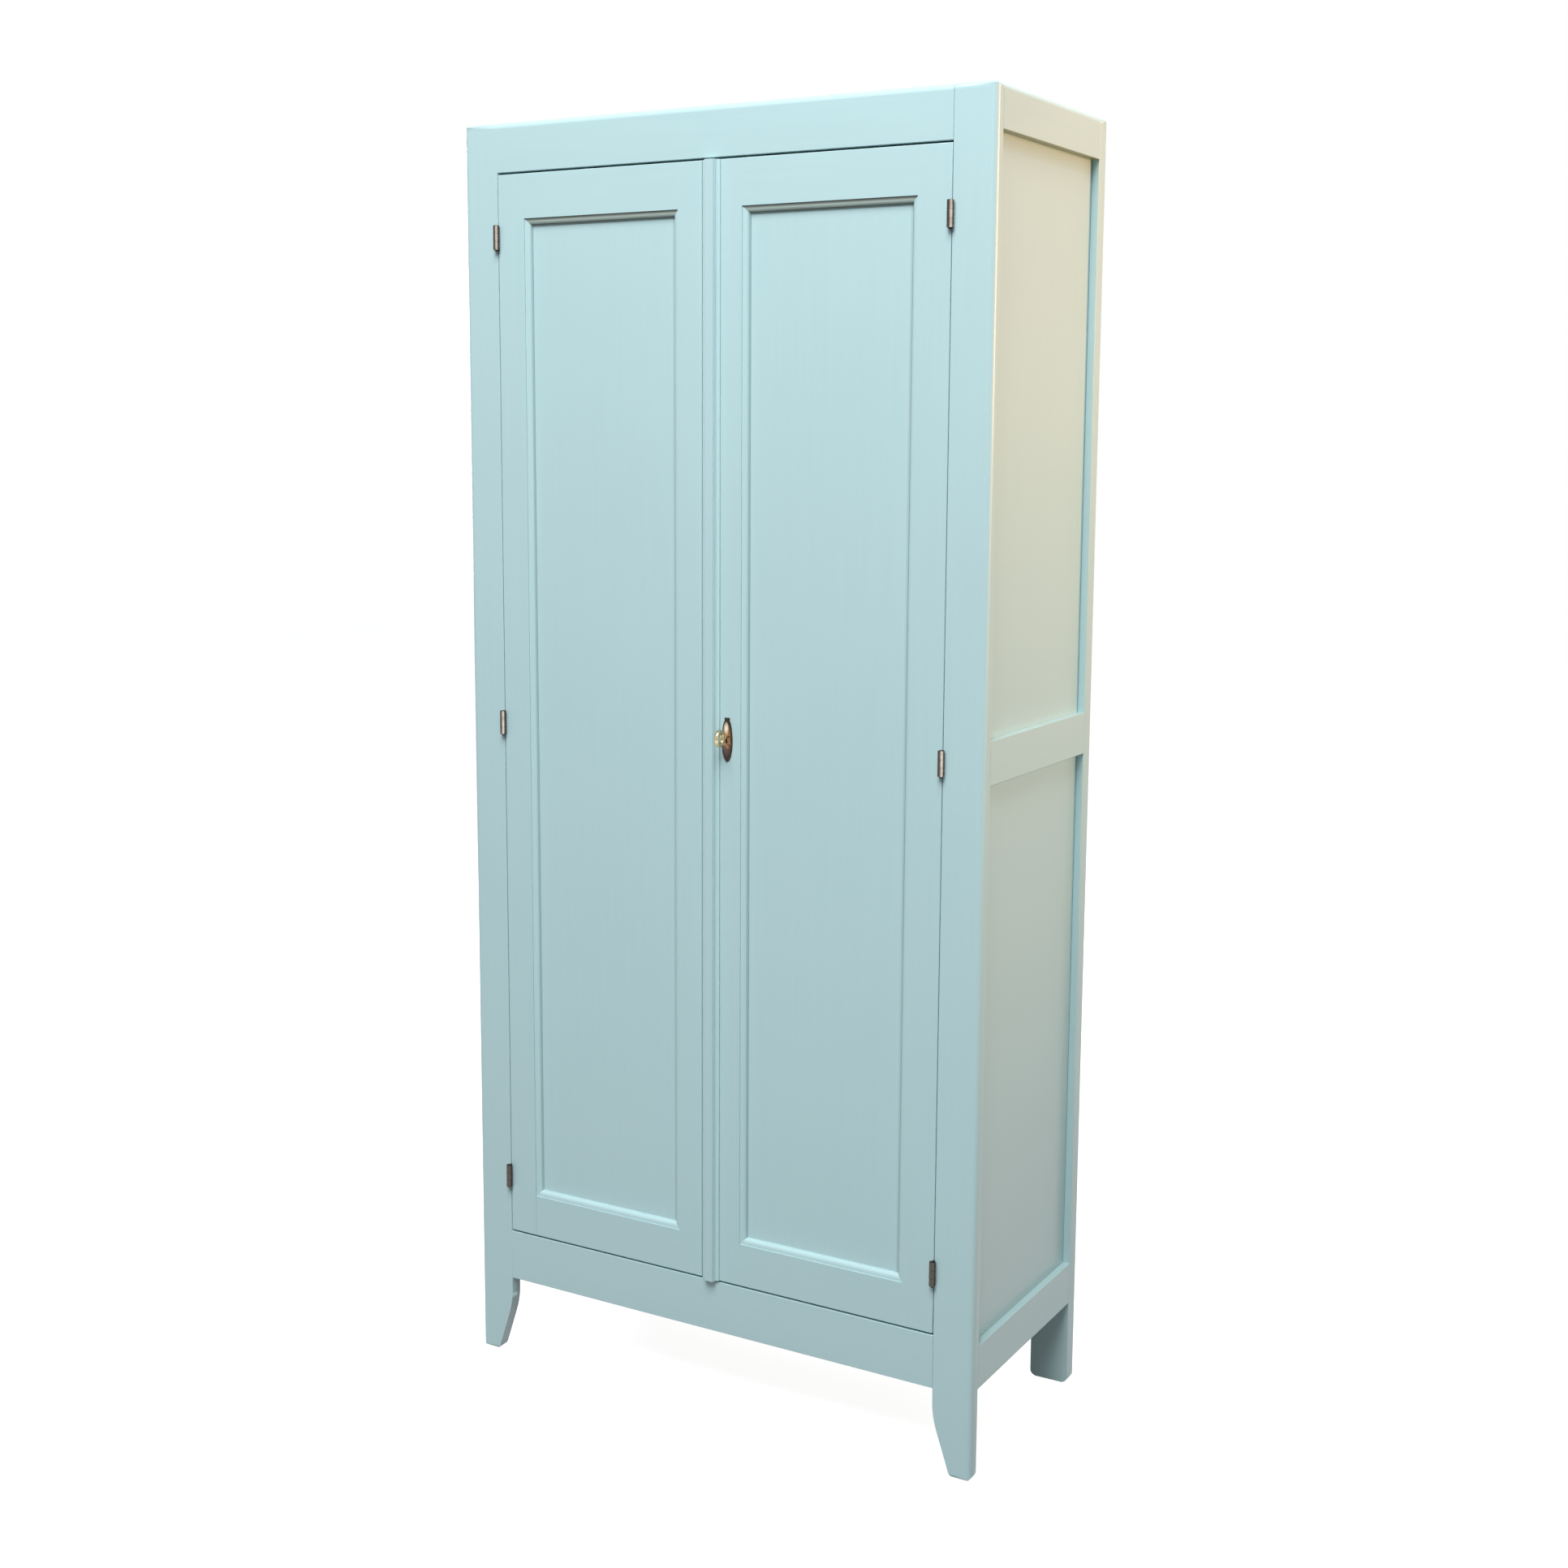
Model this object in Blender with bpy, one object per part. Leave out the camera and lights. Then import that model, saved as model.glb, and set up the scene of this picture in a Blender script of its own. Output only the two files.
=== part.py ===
"""Painted two-door cupboard: a frame-and-panel carcass on tapered legs, two frame-and-panel doors on barrel
hinges, a moulded meeting strip, a rim lock with its key, a slide bolt, and three shelves on cleats.

Metres, +Z up. The front faces -Y, and the origin is on the floor under the middle of the carcass.
"""

import math

import bmesh
import bpy
from mathutils import Matrix, Vector

# Overall sizes
HEIGHT = 1.900
WIDTH = 0.860
DEPTH = 0.380
BOARD = 0.020  # thickness of the front and side frames and of the doors
BACK_BOARD = 0.027  # thickness of the rear posts and back rails
CLEARANCE = 0.0003  # between pieces that rest on or fit into each other
ROUNDED_EDGE = 0.009  # round on the outer front and top edges of the carcass
EASED_EDGE = 0.0007  # arris taken off the boards where no other board joins flush
ARC_STEPS = 5  # flats in a rounded corner

# Posts and legs
POST_WIDTH = 0.061
LEG_HEIGHT = 0.126  # floor to the underside of the front bottom rail
KNEE_HEIGHT = 0.086  # where a front leg starts to taper
KNEE_ROUND = 0.150
FOOT_WIDTH = 0.032
FOOT_ROUND = 0.010  # at the sides of a foot
FOOT_EDGE_ROUND = 0.006  # at its front and back
REAR_EDGE_ROUND = 0.005

# Rails and panels of the carcass
TOP_RAIL_HEIGHT = 0.071
BOTTOM_RAIL_HEIGHT = 0.078
SIDE_TOP_RAIL_HEIGHT = 0.059
SIDE_MIDDLE_RAIL_HEIGHT = 0.061
SIDE_BOTTOM_RAIL_HEIGHT = 0.064
SIDE_BOTTOM_RAIL_BASE = 0.131
PANEL_THICKNESS = 0.006
PANEL_RECESS = 0.011  # side panels behind the outer face of their frame
BACK_WEB = 0.0035  # wood left between the tongue and the panel in a back rail
GROOVE_DEPTH = 0.006
TENON_THICKNESS = 0.007
TENON_LENGTH = 0.028
SIDE_TENON_LENGTH = 0.011
TENON_SHOULDER = 0.012

# Top, floor and shelves
TOP_THICKNESS = 0.016
TOP_SINK = 0.006  # top panel below the upper edge of its rails
FLOOR_THICKNESS = 0.022
DOOR_STOP = 0.010  # floor panel above the bottom rail, where the doors shut against it
TONGUE_THICKNESS = 0.006
TONGUE_LENGTH = 0.006
TONGUE_RISE = 0.002  # above the underside of its panel
SHELF_NAMES = ("lower", "middle", "upper")
SHELF_THICKNESS = 0.018
SHELF_SETBACK = 0.030  # behind the doors
CLEAT_WIDTH = 0.022
CLEAT_HEIGHT = 0.030

# Doors
DOOR_GAP = 0.003  # above, below and between the doors
HINGE_GAP = 0.001  # between a door and its post
MEETING_X = -0.0125  # middle of the gap between the doors
HINGE_STILE_WIDTHS = {"left": 0.047, "right": 0.049}
MEETING_STILE_WIDTHS = {"left": 0.040, "right": 0.062}
MEETING_ROUND = 0.002  # front edge of the left door where the doors meet
DOOR_RAIL_HEIGHT = 0.064
MOULDING_WIDTH = 0.0098
PANEL_SINK = 0.0092  # door panel behind the face of the door
QUIRK_DEPTH = 0.0018  # step along the outer side of the moulding
QUIRK_WIDTH = 0.0016
FILLET_WIDTH = 0.0014  # flat along its inner side
FILLET_DEPTH = 0.0026
STRIP_WIDTH = 0.028
STRIP_PROUD = 0.010
STRIP_BAND = 0.0145  # flat middle of the meeting strip
STRIP_FOOT = 0.0024  # straight edge at its base
STRIP_FLAT = 0.0012  # flat between that edge and the hollow
STRIP_LEDGE = 0.0010  # flat between the hollow and the step beside the middle
STRIP_QUIRK = 0.0026  # height of that step

# Hinges
HINGE_HEIGHT = 0.035
HINGE_FROM_END = 0.090  # end of the door to the middle of the hinge
BARREL_RADIUS = 0.0046
BARREL_SEGMENTS = 16
PIN_RADIUS = 0.0020
PIN_CLEARANCE = 0.0001
LEAF_THICKNESS = 0.0011
LEAF_DEPTH = 0.014

# Lock, key and escutcheon
KEY_HEIGHT = 1.025
KEY_BACKSET = 0.040  # from the meeting edge of the right door
KEY_SHANK_RADIUS = 0.0026
KEY_BIT_REACH = 0.0090
KEY_BIT_THICKNESS = 0.0022
KEY_BIT_WIDTH = 0.006
KEY_COLLAR_RADIUS = 0.0036
KEY_COLLAR_LENGTH = 0.005
KEY_COLLAR_GAP = 0.006  # escutcheon to the collar
BOW_LENGTH = 0.0225
BOW_HEIGHT = 0.0255
BOW_THICKNESS = 0.0060
BOW_BREADTH = 0.0068  # its ring across the key
BOW_STEPS = 24
BOW_SIDES = 8
KEYHOLE_SLACK = 0.0004
ESCUTCHEON_WIDTH = 0.018
ESCUTCHEON_DROP = 0.0073  # its widest part below the key
ESCUTCHEON_BELOW = 0.0285  # widest part to the lower tip
ESCUTCHEON_ABOVE = 0.0295  # widest part to the finial
ESCUTCHEON_THICKNESS = 0.0021
ESCUTCHEON_BEVEL = 0.0015
ESCUTCHEON_STEPS = 14
FINIAL_WIDTH = 0.0085
FINIAL_HEIGHT = 0.0055
FINIAL_STEP = 0.0008  # neck wider than the finial on each side
CASE_WIDTH = 0.058
CASE_HEIGHT = 0.070
CASE_DEPTH = 0.014
CASE_WALL = 0.0015
CASE_FROM_EDGE = 0.0035  # meeting edge of the door to the lock case
BOLT_HEIGHT = 0.014
BOLT_THICKNESS = 0.007
BOLT_LENGTH = 0.040
BOLT_THROW = 0.014  # into the keeper
BOLT_BEHIND_DOOR = 0.0026
KEEPER_WALL = 0.0018
KEEPER_FLANGE = 0.007
KEEPER_FROM_EDGE = 0.002

# Slide bolt of the left door
SLIDE_WIDTH = 0.009
SLIDE_THICKNESS = 0.005
SLIDE_LENGTH = 0.085
SLIDE_BELOW_TOP = 0.003
GUIDE_HEIGHT = 0.036
GUIDE_BELOW_TOP = 0.014
GUIDE_WALL = 0.0016
GUIDE_FLANGE = 0.005
KNOB_RADIUS = 0.004
KNOB_LENGTH = 0.008

# Finishes: colour, roughness, metallic
PAINT = ((0.50, 0.69, 0.71), 0.42, 0.0)
BARE_WOOD = ((0.56, 0.40, 0.23), 0.65, 0.0)
DARK_STEEL = ((0.13, 0.12, 0.11), 0.45, 1.0)
BRASS = ((0.55, 0.38, 0.17), 0.32, 1.0)

# Planes and spans that several pieces share
FRONT = -DEPTH / 2
BACK = DEPTH / 2
BEHIND_FRONT = FRONT + BOARD
AHEAD_OF_BACK = BACK - BACK_BOARD
BETWEEN_FRAMES = (BEHIND_FRONT + CLEARANCE, AHEAD_OF_BACK - CLEARANCE)
OUTER = WIDTH / 2
INNER = OUTER - POST_WIDTH
SIDE_INSIDE = OUTER - BOARD
PANEL_OUTSIDE = OUTER - PANEL_RECESS
PANEL_INSIDE = PANEL_OUTSIDE - PANEL_THICKNESS
SIDES = {"left": -1, "right": 1}
FRONT_RAILS = {
    "top": (HEIGHT - TOP_RAIL_HEIGHT, HEIGHT),
    "bottom": (LEG_HEIGHT, LEG_HEIGHT + BOTTOM_RAIL_HEIGHT),
}
BACK_RAILS = {"top": (HEIGHT - SIDE_TOP_RAIL_HEIGHT, HEIGHT), "bottom": FRONT_RAILS["bottom"]}
SIDE_RAILS = {
    "top": (HEIGHT - SIDE_TOP_RAIL_HEIGHT, HEIGHT),
    "bottom": (SIDE_BOTTOM_RAIL_BASE, SIDE_BOTTOM_RAIL_BASE + SIDE_BOTTOM_RAIL_HEIGHT),
}
SIDE_MIDDLE = (SIDE_RAILS["bottom"][1] + SIDE_RAILS["top"][0]) / 2
SIDE_RAILS["middle"] = (
    SIDE_MIDDLE - SIDE_MIDDLE_RAIL_HEIGHT / 2,
    SIDE_MIDDLE + SIDE_MIDDLE_RAIL_HEIGHT / 2,
)
INTO_GROOVE = GROOVE_DEPTH - CLEARANCE
SIDE_PANELS = {
    "upper": (SIDE_RAILS["middle"][1] - INTO_GROOVE, SIDE_RAILS["top"][0] + INTO_GROOVE),
    "lower": (SIDE_RAILS["bottom"][1] - INTO_GROOVE, SIDE_RAILS["middle"][0] + INTO_GROOVE),
}
BACK_PANEL_FACE = AHEAD_OF_BACK + TONGUE_LENGTH + BACK_WEB
BACK_PANEL_Y = (BACK_PANEL_FACE, BACK_PANEL_FACE + PANEL_THICKNESS)
BACK_PANEL_Z = (BACK_RAILS["bottom"][1] - INTO_GROOVE, BACK_RAILS["top"][0] + INTO_GROOVE)
TOP_Z = (HEIGHT - TOP_SINK - TOP_THICKNESS, HEIGHT - TOP_SINK)
FLOOR_TOP = FRONT_RAILS["bottom"][1] + DOOR_STOP
FLOOR_Z = (FLOOR_TOP - FLOOR_THICKNESS, FLOOR_TOP)
DOOR_Z = (FRONT_RAILS["bottom"][1] + DOOR_GAP, FRONT_RAILS["top"][0] - DOOR_GAP)
DOOR_HINGE_EDGE = INNER - HINGE_GAP
HINGE_X = INNER - HINGE_GAP / 2
HINGE_Y = FRONT - BARREL_RADIUS - CLEARANCE
HINGE_HEIGHTS = {
    "top": DOOR_Z[1] - HINGE_FROM_END,
    "middle": sum(DOOR_Z) / 2,
    "bottom": DOOR_Z[0] + HINGE_FROM_END,
}
MEETING_EDGES = {"left": MEETING_X - DOOR_GAP / 2, "right": MEETING_X + DOOR_GAP / 2}
KEY_X = MEETING_EDGES["right"] + KEY_BACKSET
BOLT_Z = KEY_HEIGHT + KEY_BIT_REACH + CLEARANCE + BOLT_HEIGHT / 2
BOLT_Y = (BEHIND_FRONT + BOLT_BEHIND_DOOR, BEHIND_FRONT + BOLT_BEHIND_DOOR + BOLT_THICKNESS)
CASE_X = (MEETING_EDGES["right"] + CASE_FROM_EDGE, MEETING_EDGES["right"] + CASE_FROM_EDGE + CASE_WIDTH)
SLIDE_X = MEETING_EDGES["left"] - MEETING_STILE_WIDTHS["left"] / 2


# Shapes

def inset(span, by):
    """A span drawn in at both ends, or grown when by is negative."""
    low, high = min(span), max(span)
    return low + by, high - by


def grown(box, by=CLEARANCE):
    """The box of a seat: the box of the piece that fits there, with clearance all round."""
    return tuple(inset(span, -by) for span in box)


def mirrored(side, low, high):
    """A span along X on the left (-1) or right (1) of the middle."""
    return side * low, side * high


def add_box(bm, box):
    """Add an axis-aligned box, given as its X, Y and Z spans, to a bmesh."""
    low = Vector([min(span) for span in box])
    high = Vector([max(span) for span in box])
    place = Matrix.Translation((low + high) / 2) @ Matrix.Diagonal((*(high - low), 1))
    bmesh.ops.create_cube(bm, size=1, matrix=place)


def boxes(*spans):
    """A bmesh that holds separate boxes."""
    bm = bmesh.new()
    for box in spans:
        add_box(bm, box)
    return bm


def prism(outline, along):
    """A bmesh of a flat outline extruded along a vector."""
    bm = bmesh.new()
    face = bm.faces.new([bm.verts.new(point) for point in outline])
    extruded = bmesh.ops.extrude_face_region(bm, geom=[face])
    moved = [part for part in extruded["geom"] if isinstance(part, bmesh.types.BMVert)]
    bmesh.ops.translate(bm, verts=moved, vec=along)
    return bm


def filleted(corners):
    """A flat outline through corners (a, b, radius), each rounded by an arc of its radius."""
    outline = []
    for index, (a, b, radius) in enumerate(corners):
        here = Vector((a, b))
        back = (Vector(corners[index - 1][:2]) - here).normalized()
        ahead = (Vector(corners[(index + 1) % len(corners)][:2]) - here).normalized()
        half = back.angle(ahead) / 2
        centre = here + (back + ahead).normalized() * radius / math.sin(half)
        start = here + back * radius / math.tan(half) - centre
        end = here + ahead * radius / math.tan(half) - centre
        steps = 1 if radius <= EASED_EDGE else ARC_STEPS
        for step in range(steps + 1):
            turn = Matrix.Rotation(-start.angle_signed(end) * step / steps, 2)
            outline.append(centre + turn @ start)
    return outline


def rod(radius, start, end, segments):
    """A bmesh of a round bar between two points."""
    start, end = Vector(start), Vector(end)
    turn = (end - start).to_track_quat("Z", "Y").to_matrix().to_4x4()
    place = Matrix.Translation((start + end) / 2) @ turn
    bm = bmesh.new()
    bmesh.ops.create_cone(
        bm, cap_ends=True, segments=segments, radius1=radius, radius2=radius,
        depth=(end - start).length, matrix=place,
    )
    return bm


def bevel(bm, width, segments, wanted):
    """Round the edges that a test picks."""
    edges = [edge for edge in bm.edges if wanted(edge)]
    bmesh.ops.bevel(
        bm, geom=edges, offset=width, offset_type="OFFSET", segments=segments, profile=0.5,
        affect="EDGES", material=-1,
    )


def ease(bm, joints=()):
    """Take the arris off the square edges, except in the planes where another board joins flush."""
    def free(edge):
        square = edge.calc_face_angle(0) > math.radians(50)
        return square and not any(at(edge, **joint) for joint in joints)

    bevel(bm, EASED_EDGE, 1, free)


def at(edge, **planes):
    """True for an edge that lies in the given planes, such as x=0.1, z=0."""
    for axis, plane in planes.items():
        index = "xyz".index(axis)
        if any(abs(vert.co[index] - plane) > 1e-5 for vert in edge.verts):
            return False
    return True


# Objects

def axis_at(name, place, parent=None):
    """An empty on a joint's axis, which carries the pieces that move about or along it."""
    empty = bpy.data.objects.new(name, None)
    bpy.context.collection.objects.link(empty)
    empty.parent = parent
    carried = parent.matrix_world.translation if parent else Vector()
    empty.location = Vector(place) - carried
    bpy.context.view_layer.update()
    return empty


def link(name, bm):
    """Link a bmesh to the scene as an object with that name."""
    bmesh.ops.recalc_face_normals(bm, faces=bm.faces)
    mesh = bpy.data.meshes.new(name)
    bm.to_mesh(mesh)
    bm.free()
    obj = bpy.data.objects.new(name, mesh)
    bpy.context.collection.objects.link(obj)
    return obj


def combine(obj, operation, bm):
    """Add a shape to an object or cut it away, and keep the result as the object's mesh."""
    tool = link("tool", bm)
    modifier = obj.modifiers.new(operation.lower(), "BOOLEAN")
    modifier.operation = operation
    modifier.solver = "EXACT"
    modifier.object = tool
    shaped = obj.evaluated_get(bpy.context.evaluated_depsgraph_get())
    mesh = bpy.data.meshes.new_from_object(shaped)
    obj.modifiers.clear()
    obj.data = mesh
    bpy.data.objects.remove(tool)


def piece(name, bm, finish, within=(), add=(), cut=(), axis=None):
    """A named piece: its first shape, the shapes that bound it, add to it or cut it, and its finish."""
    obj = link(name, bm)
    for shape in within:
        combine(obj, "INTERSECT", shape)
    for shape in add:
        combine(obj, "UNION", shape)
    for shape in cut:
        combine(obj, "DIFFERENCE", shape)
    obj.data.name = name
    obj.data.shade_smooth()
    obj.data.set_sharp_from_angle(angle=math.radians(35))
    colour, roughness, metallic = finish
    material = bpy.data.materials.new(name)
    material.use_nodes = True
    shader = material.node_tree.nodes["Principled BSDF"]
    shader.inputs["Base Color"].default_value = (*colour, 1)
    shader.inputs["Roughness"].default_value = roughness
    shader.inputs["Metallic"].default_value = metallic
    obj.data.materials.clear()
    obj.data.materials.append(material)
    if axis:
        obj.data.transform(Matrix.Translation(-axis.matrix_world.translation))
        obj.parent = axis
    return obj


def board(box, joints=()):
    """A bmesh of one board with eased edges."""
    bm = boxes(box)
    ease(bm, joints)
    return bm


# Joints of the carcass

def inside(face, beyond=0):
    """The inner side of the front (face -1) or back (face 1) frame, or a plane that far into it."""
    return BEHIND_FRONT - beyond if face < 0 else AHEAD_OF_BACK + beyond


def cross_tenon(side, face, rail):
    """The tenon of a front (face -1) or back (face 1) rail in the left or right post."""
    middle = (inside(face) + face * BACK) / 2
    across = (middle - TENON_THICKNESS / 2, middle + TENON_THICKNESS / 2)
    return mirrored(side, INNER - CLEARANCE, INNER + TENON_LENGTH), across, inset(rail, TENON_SHOULDER)


def side_tenon(side, face, rail):
    """The tenon of a side rail in the front (face -1) or rear (face 1) post."""
    along = (inside(face, -CLEARANCE), inside(face, SIDE_TENON_LENGTH))
    return mirrored(side, PANEL_INSIDE, PANEL_OUTSIDE), along, inset(rail, TENON_SHOULDER)


def side_panel_box(side, panel):
    """A side panel, with its edges in the grooves of the posts and rails."""
    along = (inside(-1, INTO_GROOVE), inside(1, INTO_GROOVE))
    return mirrored(side, PANEL_INSIDE, PANEL_OUTSIDE), along, panel


def back_panel_box():
    """The back panel, with its edges in the grooves of the rear posts and back rails."""
    return (-INNER - INTO_GROOVE, INNER + INTO_GROOVE), BACK_PANEL_Y, BACK_PANEL_Z


def tongue(face, height):
    """The tongue of the top or floor panel in a front (face -1) or back (face 1) rail."""
    reach = (inside(face, -2 * CLEARANCE), inside(face, TONGUE_LENGTH))
    low = height[0] + TONGUE_RISE
    return inset((-INNER, INNER), CLEARANCE), reach, (low, low + TONGUE_THICKNESS)


def frame_leaf_seat(side, height):
    """The sunk seat of a hinge leaf in a front post."""
    leaf = (
        mirrored(side, INNER, INNER + LEAF_THICKNESS),
        (FRONT - CLEARANCE, FRONT + LEAF_DEPTH),
        (height - HINGE_HEIGHT / 2, height + HINGE_HEIGHT / 2),
    )
    return grown(leaf)


# Posts: the front legs taper on their inner side, the rear legs are straight

def post_plan(side, front, back, rounds):
    """The upright of a post: its plan, with the radius of the outer front and outer back corner, run up."""
    outer, inner = mirrored(side, OUTER, INNER)
    corners = [
        (outer, front, rounds[0]), (outer, back, rounds[1]),
        (inner, back, EASED_EDGE), (inner, front, EASED_EDGE),
    ]
    return prism([(x, y, 0) for x, y in filleted(corners)], (0, 0, HEIGHT))


def front_post(name, side):
    outer, inner = mirrored(side, OUTER, INNER)
    elevation = [
        (outer, 0, FOOT_ROUND), (side * (OUTER - FOOT_WIDTH), 0, FOOT_ROUND),
        (inner, KNEE_HEIGHT, KNEE_ROUND), (inner, HEIGHT, EASED_EDGE), (outer, HEIGHT, ROUNDED_EDGE),
    ]
    face = prism([(x, FRONT - BOARD, z) for x, z in filleted(elevation)], (0, 3 * BOARD, 0))
    section = [
        (FRONT, 0, FOOT_EDGE_ROUND), (FRONT, HEIGHT, ROUNDED_EDGE),
        (BEHIND_FRONT, HEIGHT, EASED_EDGE), (BEHIND_FRONT, 0, FOOT_EDGE_ROUND),
    ]
    edge_on = prism([(-WIDTH, y, z) for y, z in filleted(section)], (2 * WIDTH, 0, 0))
    seats = [grown(cross_tenon(side, -1, rail)) for rail in FRONT_RAILS.values()]
    seats += [grown(side_tenon(side, -1, rail)) for rail in SIDE_RAILS.values()]
    seats += [frame_leaf_seat(side, height) for height in HINGE_HEIGHTS.values()]
    grooves = [grown(side_panel_box(side, panel)) for panel in SIDE_PANELS.values()]
    upright = post_plan(side, FRONT, BEHIND_FRONT, (ROUNDED_EDGE, EASED_EDGE))
    piece(name, upright, PAINT, within=[face, edge_on], cut=[boxes(*seats), boxes(*grooves)])


def rear_post(name, side):
    outer, inner = mirrored(side, OUTER, INNER)
    elevation = [
        (outer, 0, FOOT_ROUND), (inner, 0, FOOT_ROUND), (inner, HEIGHT, EASED_EDGE),
        (outer, HEIGHT, ROUNDED_EDGE),
    ]
    face = prism([(x, BACK + BOARD, z) for x, z in filleted(elevation)], (0, -3 * BOARD, 0))
    seats = [grown(cross_tenon(side, 1, rail)) for rail in BACK_RAILS.values()]
    seats += [grown(side_tenon(side, 1, rail)) for rail in SIDE_RAILS.values()]
    grooves = [grown(side_panel_box(side, panel)) for panel in SIDE_PANELS.values()]
    grooves.append(grown(back_panel_box()))
    upright = post_plan(side, AHEAD_OF_BACK, BACK, (EASED_EDGE, REAR_EDGE_ROUND))
    piece(name, upright, PAINT, within=[face], cut=[boxes(*seats), boxes(*grooves)])


# Rails: tenoned into the posts and grooved for the panels

def grown_root(tenon, side):
    """A tenon along X with its root carried into its own rail."""
    root, tip = tenon[0]
    return (root - side * TENON_THICKNESS, tip), tenon[1], tenon[2]


def front_rail(name, where):
    span = FRONT_RAILS[where]
    across = inset((-INNER, INNER), CLEARANCE)
    bm = boxes((across, (FRONT, BEHIND_FRONT), span))
    if where == "top":
        bevel(bm, ROUNDED_EDGE, ARC_STEPS, lambda edge: at(edge, y=FRONT, z=HEIGHT))
    ease(bm, [{"x": end} for end in across])
    tenons = boxes(*[grown_root(cross_tenon(side, -1, span), side) for side in SIDES.values()])
    panel = TOP_Z if where == "top" else FLOOR_Z
    piece(name, bm, PAINT, add=[tenons], cut=[boxes(grown(tongue(-1, panel)))])


def back_rail(name, where):
    span = BACK_RAILS[where]
    across = inset((-INNER, INNER), CLEARANCE)
    bm = board((across, (AHEAD_OF_BACK, BACK), span), [{"x": end} for end in across])
    tenons = boxes(*[grown_root(cross_tenon(side, 1, span), side) for side in SIDES.values()])
    panel = TOP_Z if where == "top" else FLOOR_Z
    grooves = [boxes(grown(tongue(1, panel))), boxes(grown(back_panel_box()))]
    piece(name, bm, PAINT, add=[tenons], cut=grooves)


def side_rail(name, side, where):
    span = SIDE_RAILS[where]
    bm = boxes((mirrored(side, SIDE_INSIDE, OUTER), BETWEEN_FRAMES, span))
    if where == "top":
        bevel(bm, ROUNDED_EDGE, ARC_STEPS, lambda edge: at(edge, x=side * OUTER, z=HEIGHT))
    ease(bm, [{"y": end} for end in BETWEEN_FRAMES])
    front, rear = side_tenon(side, -1, span), side_tenon(side, 1, span)
    tenons = boxes((front[0], (front[1][1], rear[1][1]), front[2]))
    grooves = [grown(side_panel_box(side, panel)) for panel in SIDE_PANELS.values()]
    piece(name, bm, PAINT, add=[tenons], cut=[boxes(*grooves)])


def build_carcass():
    for side_name, side in SIDES.items():
        front_post(f"front_{side_name}_post", side)
        rear_post(f"rear_{side_name}_post", side)
        for where in SIDE_RAILS:
            side_rail(f"{side_name}_side_{where}_rail", side, where)
        for where, panel in SIDE_PANELS.items():
            piece(f"{side_name}_side_{where}_panel", boxes(side_panel_box(side, panel)), PAINT)
    for where in FRONT_RAILS:
        front_rail(f"front_{where}_rail", where)
        back_rail(f"back_{where}_rail", where)
    piece("back_panel", boxes(back_panel_box()), BARE_WOOD)


def tongued_panel(name, height, finish):
    """The top or floor panel: a board between the sides, tongued into the front and back rails."""
    across = inset((-SIDE_INSIDE, SIDE_INSIDE), CLEARANCE)
    front, back = tongue(-1, height), tongue(1, height)
    tongues = boxes((front[0], (front[1][1], back[1][1]), front[2]))
    piece(name, board((across, BETWEEN_FRAMES, height)), finish, add=[tongues])


def build_inside():
    tongued_panel("top_panel", TOP_Z, PAINT)
    tongued_panel("floor_panel", FLOOR_Z, BARE_WOOD)
    spacing = (TOP_Z[0] - FLOOR_TOP) / (len(SHELF_NAMES) + 1)
    beside = SIDE_INSIDE - CLEARANCE
    for step, name in enumerate(SHELF_NAMES, start=1):
        top = FLOOR_TOP + step * spacing
        under = top - SHELF_THICKNESS
        shelf = (-beside, beside), (BEHIND_FRONT + SHELF_SETBACK, BETWEEN_FRAMES[1]), (under, top)
        piece(f"{name}_shelf", board(shelf), BARE_WOOD)
        cleat_z = (under - CLEARANCE - CLEAT_HEIGHT, under - CLEARANCE)
        for side_name, side in SIDES.items():
            cleat = mirrored(side, beside - CLEAT_WIDTH, beside), BETWEEN_FRAMES, cleat_z
            piece(f"{side_name}_{name}_cleat", board(cleat), BARE_WOOD)


# Doors: stiles and rails with a stuck moulding round a sunk panel

def moulding(corner, along, inward, length):
    """The moulded inner edge of a stile or rail, mitred at both ends, from the corner where it starts."""
    root, crease = 2 * EASED_EDGE, CLEARANCE
    lip_u, lip_v = MOULDING_WIDTH - FILLET_WIDTH, PANEL_SINK - FILLET_DEPTH
    profile = [(-root, QUIRK_DEPTH), (crease, QUIRK_DEPTH)]
    for step in range(ARC_STEPS + 1):
        turn = math.radians(90) * step / ARC_STEPS
        u = QUIRK_WIDTH + (lip_u - QUIRK_WIDTH) * math.sin(turn)
        v = QUIRK_DEPTH + (lip_v - QUIRK_DEPTH) * (1 - math.cos(turn))
        profile.append((u, v))
    back = BOARD - 2 * EASED_EDGE
    profile += [(MOULDING_WIDTH, lip_v), (MOULDING_WIDTH, back), (crease, back), (-root, back)]
    start, along, inward = Vector(corner), Vector(along), Vector(inward)
    bm = prism([start + inward * u + Vector((0, v, 0)) for u, v in profile], along * length)
    caps = [face for face in bm.faces if len(face.verts) == len(profile)]
    for cap in caps:
        toward = 1 if (cap.calc_center_median() - start).dot(along) < length / 2 else -1
        reach = {vert: (vert.co - start).dot(inward) for vert in cap.verts}
        for vert, u in reach.items():
            vert.co += along * toward * (CLEARANCE + crease + abs(u - crease))
        bmesh.utils.face_split(cap, *[vert for vert, u in reach.items() if abs(u - crease) < crease / 2])
    return bm


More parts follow.
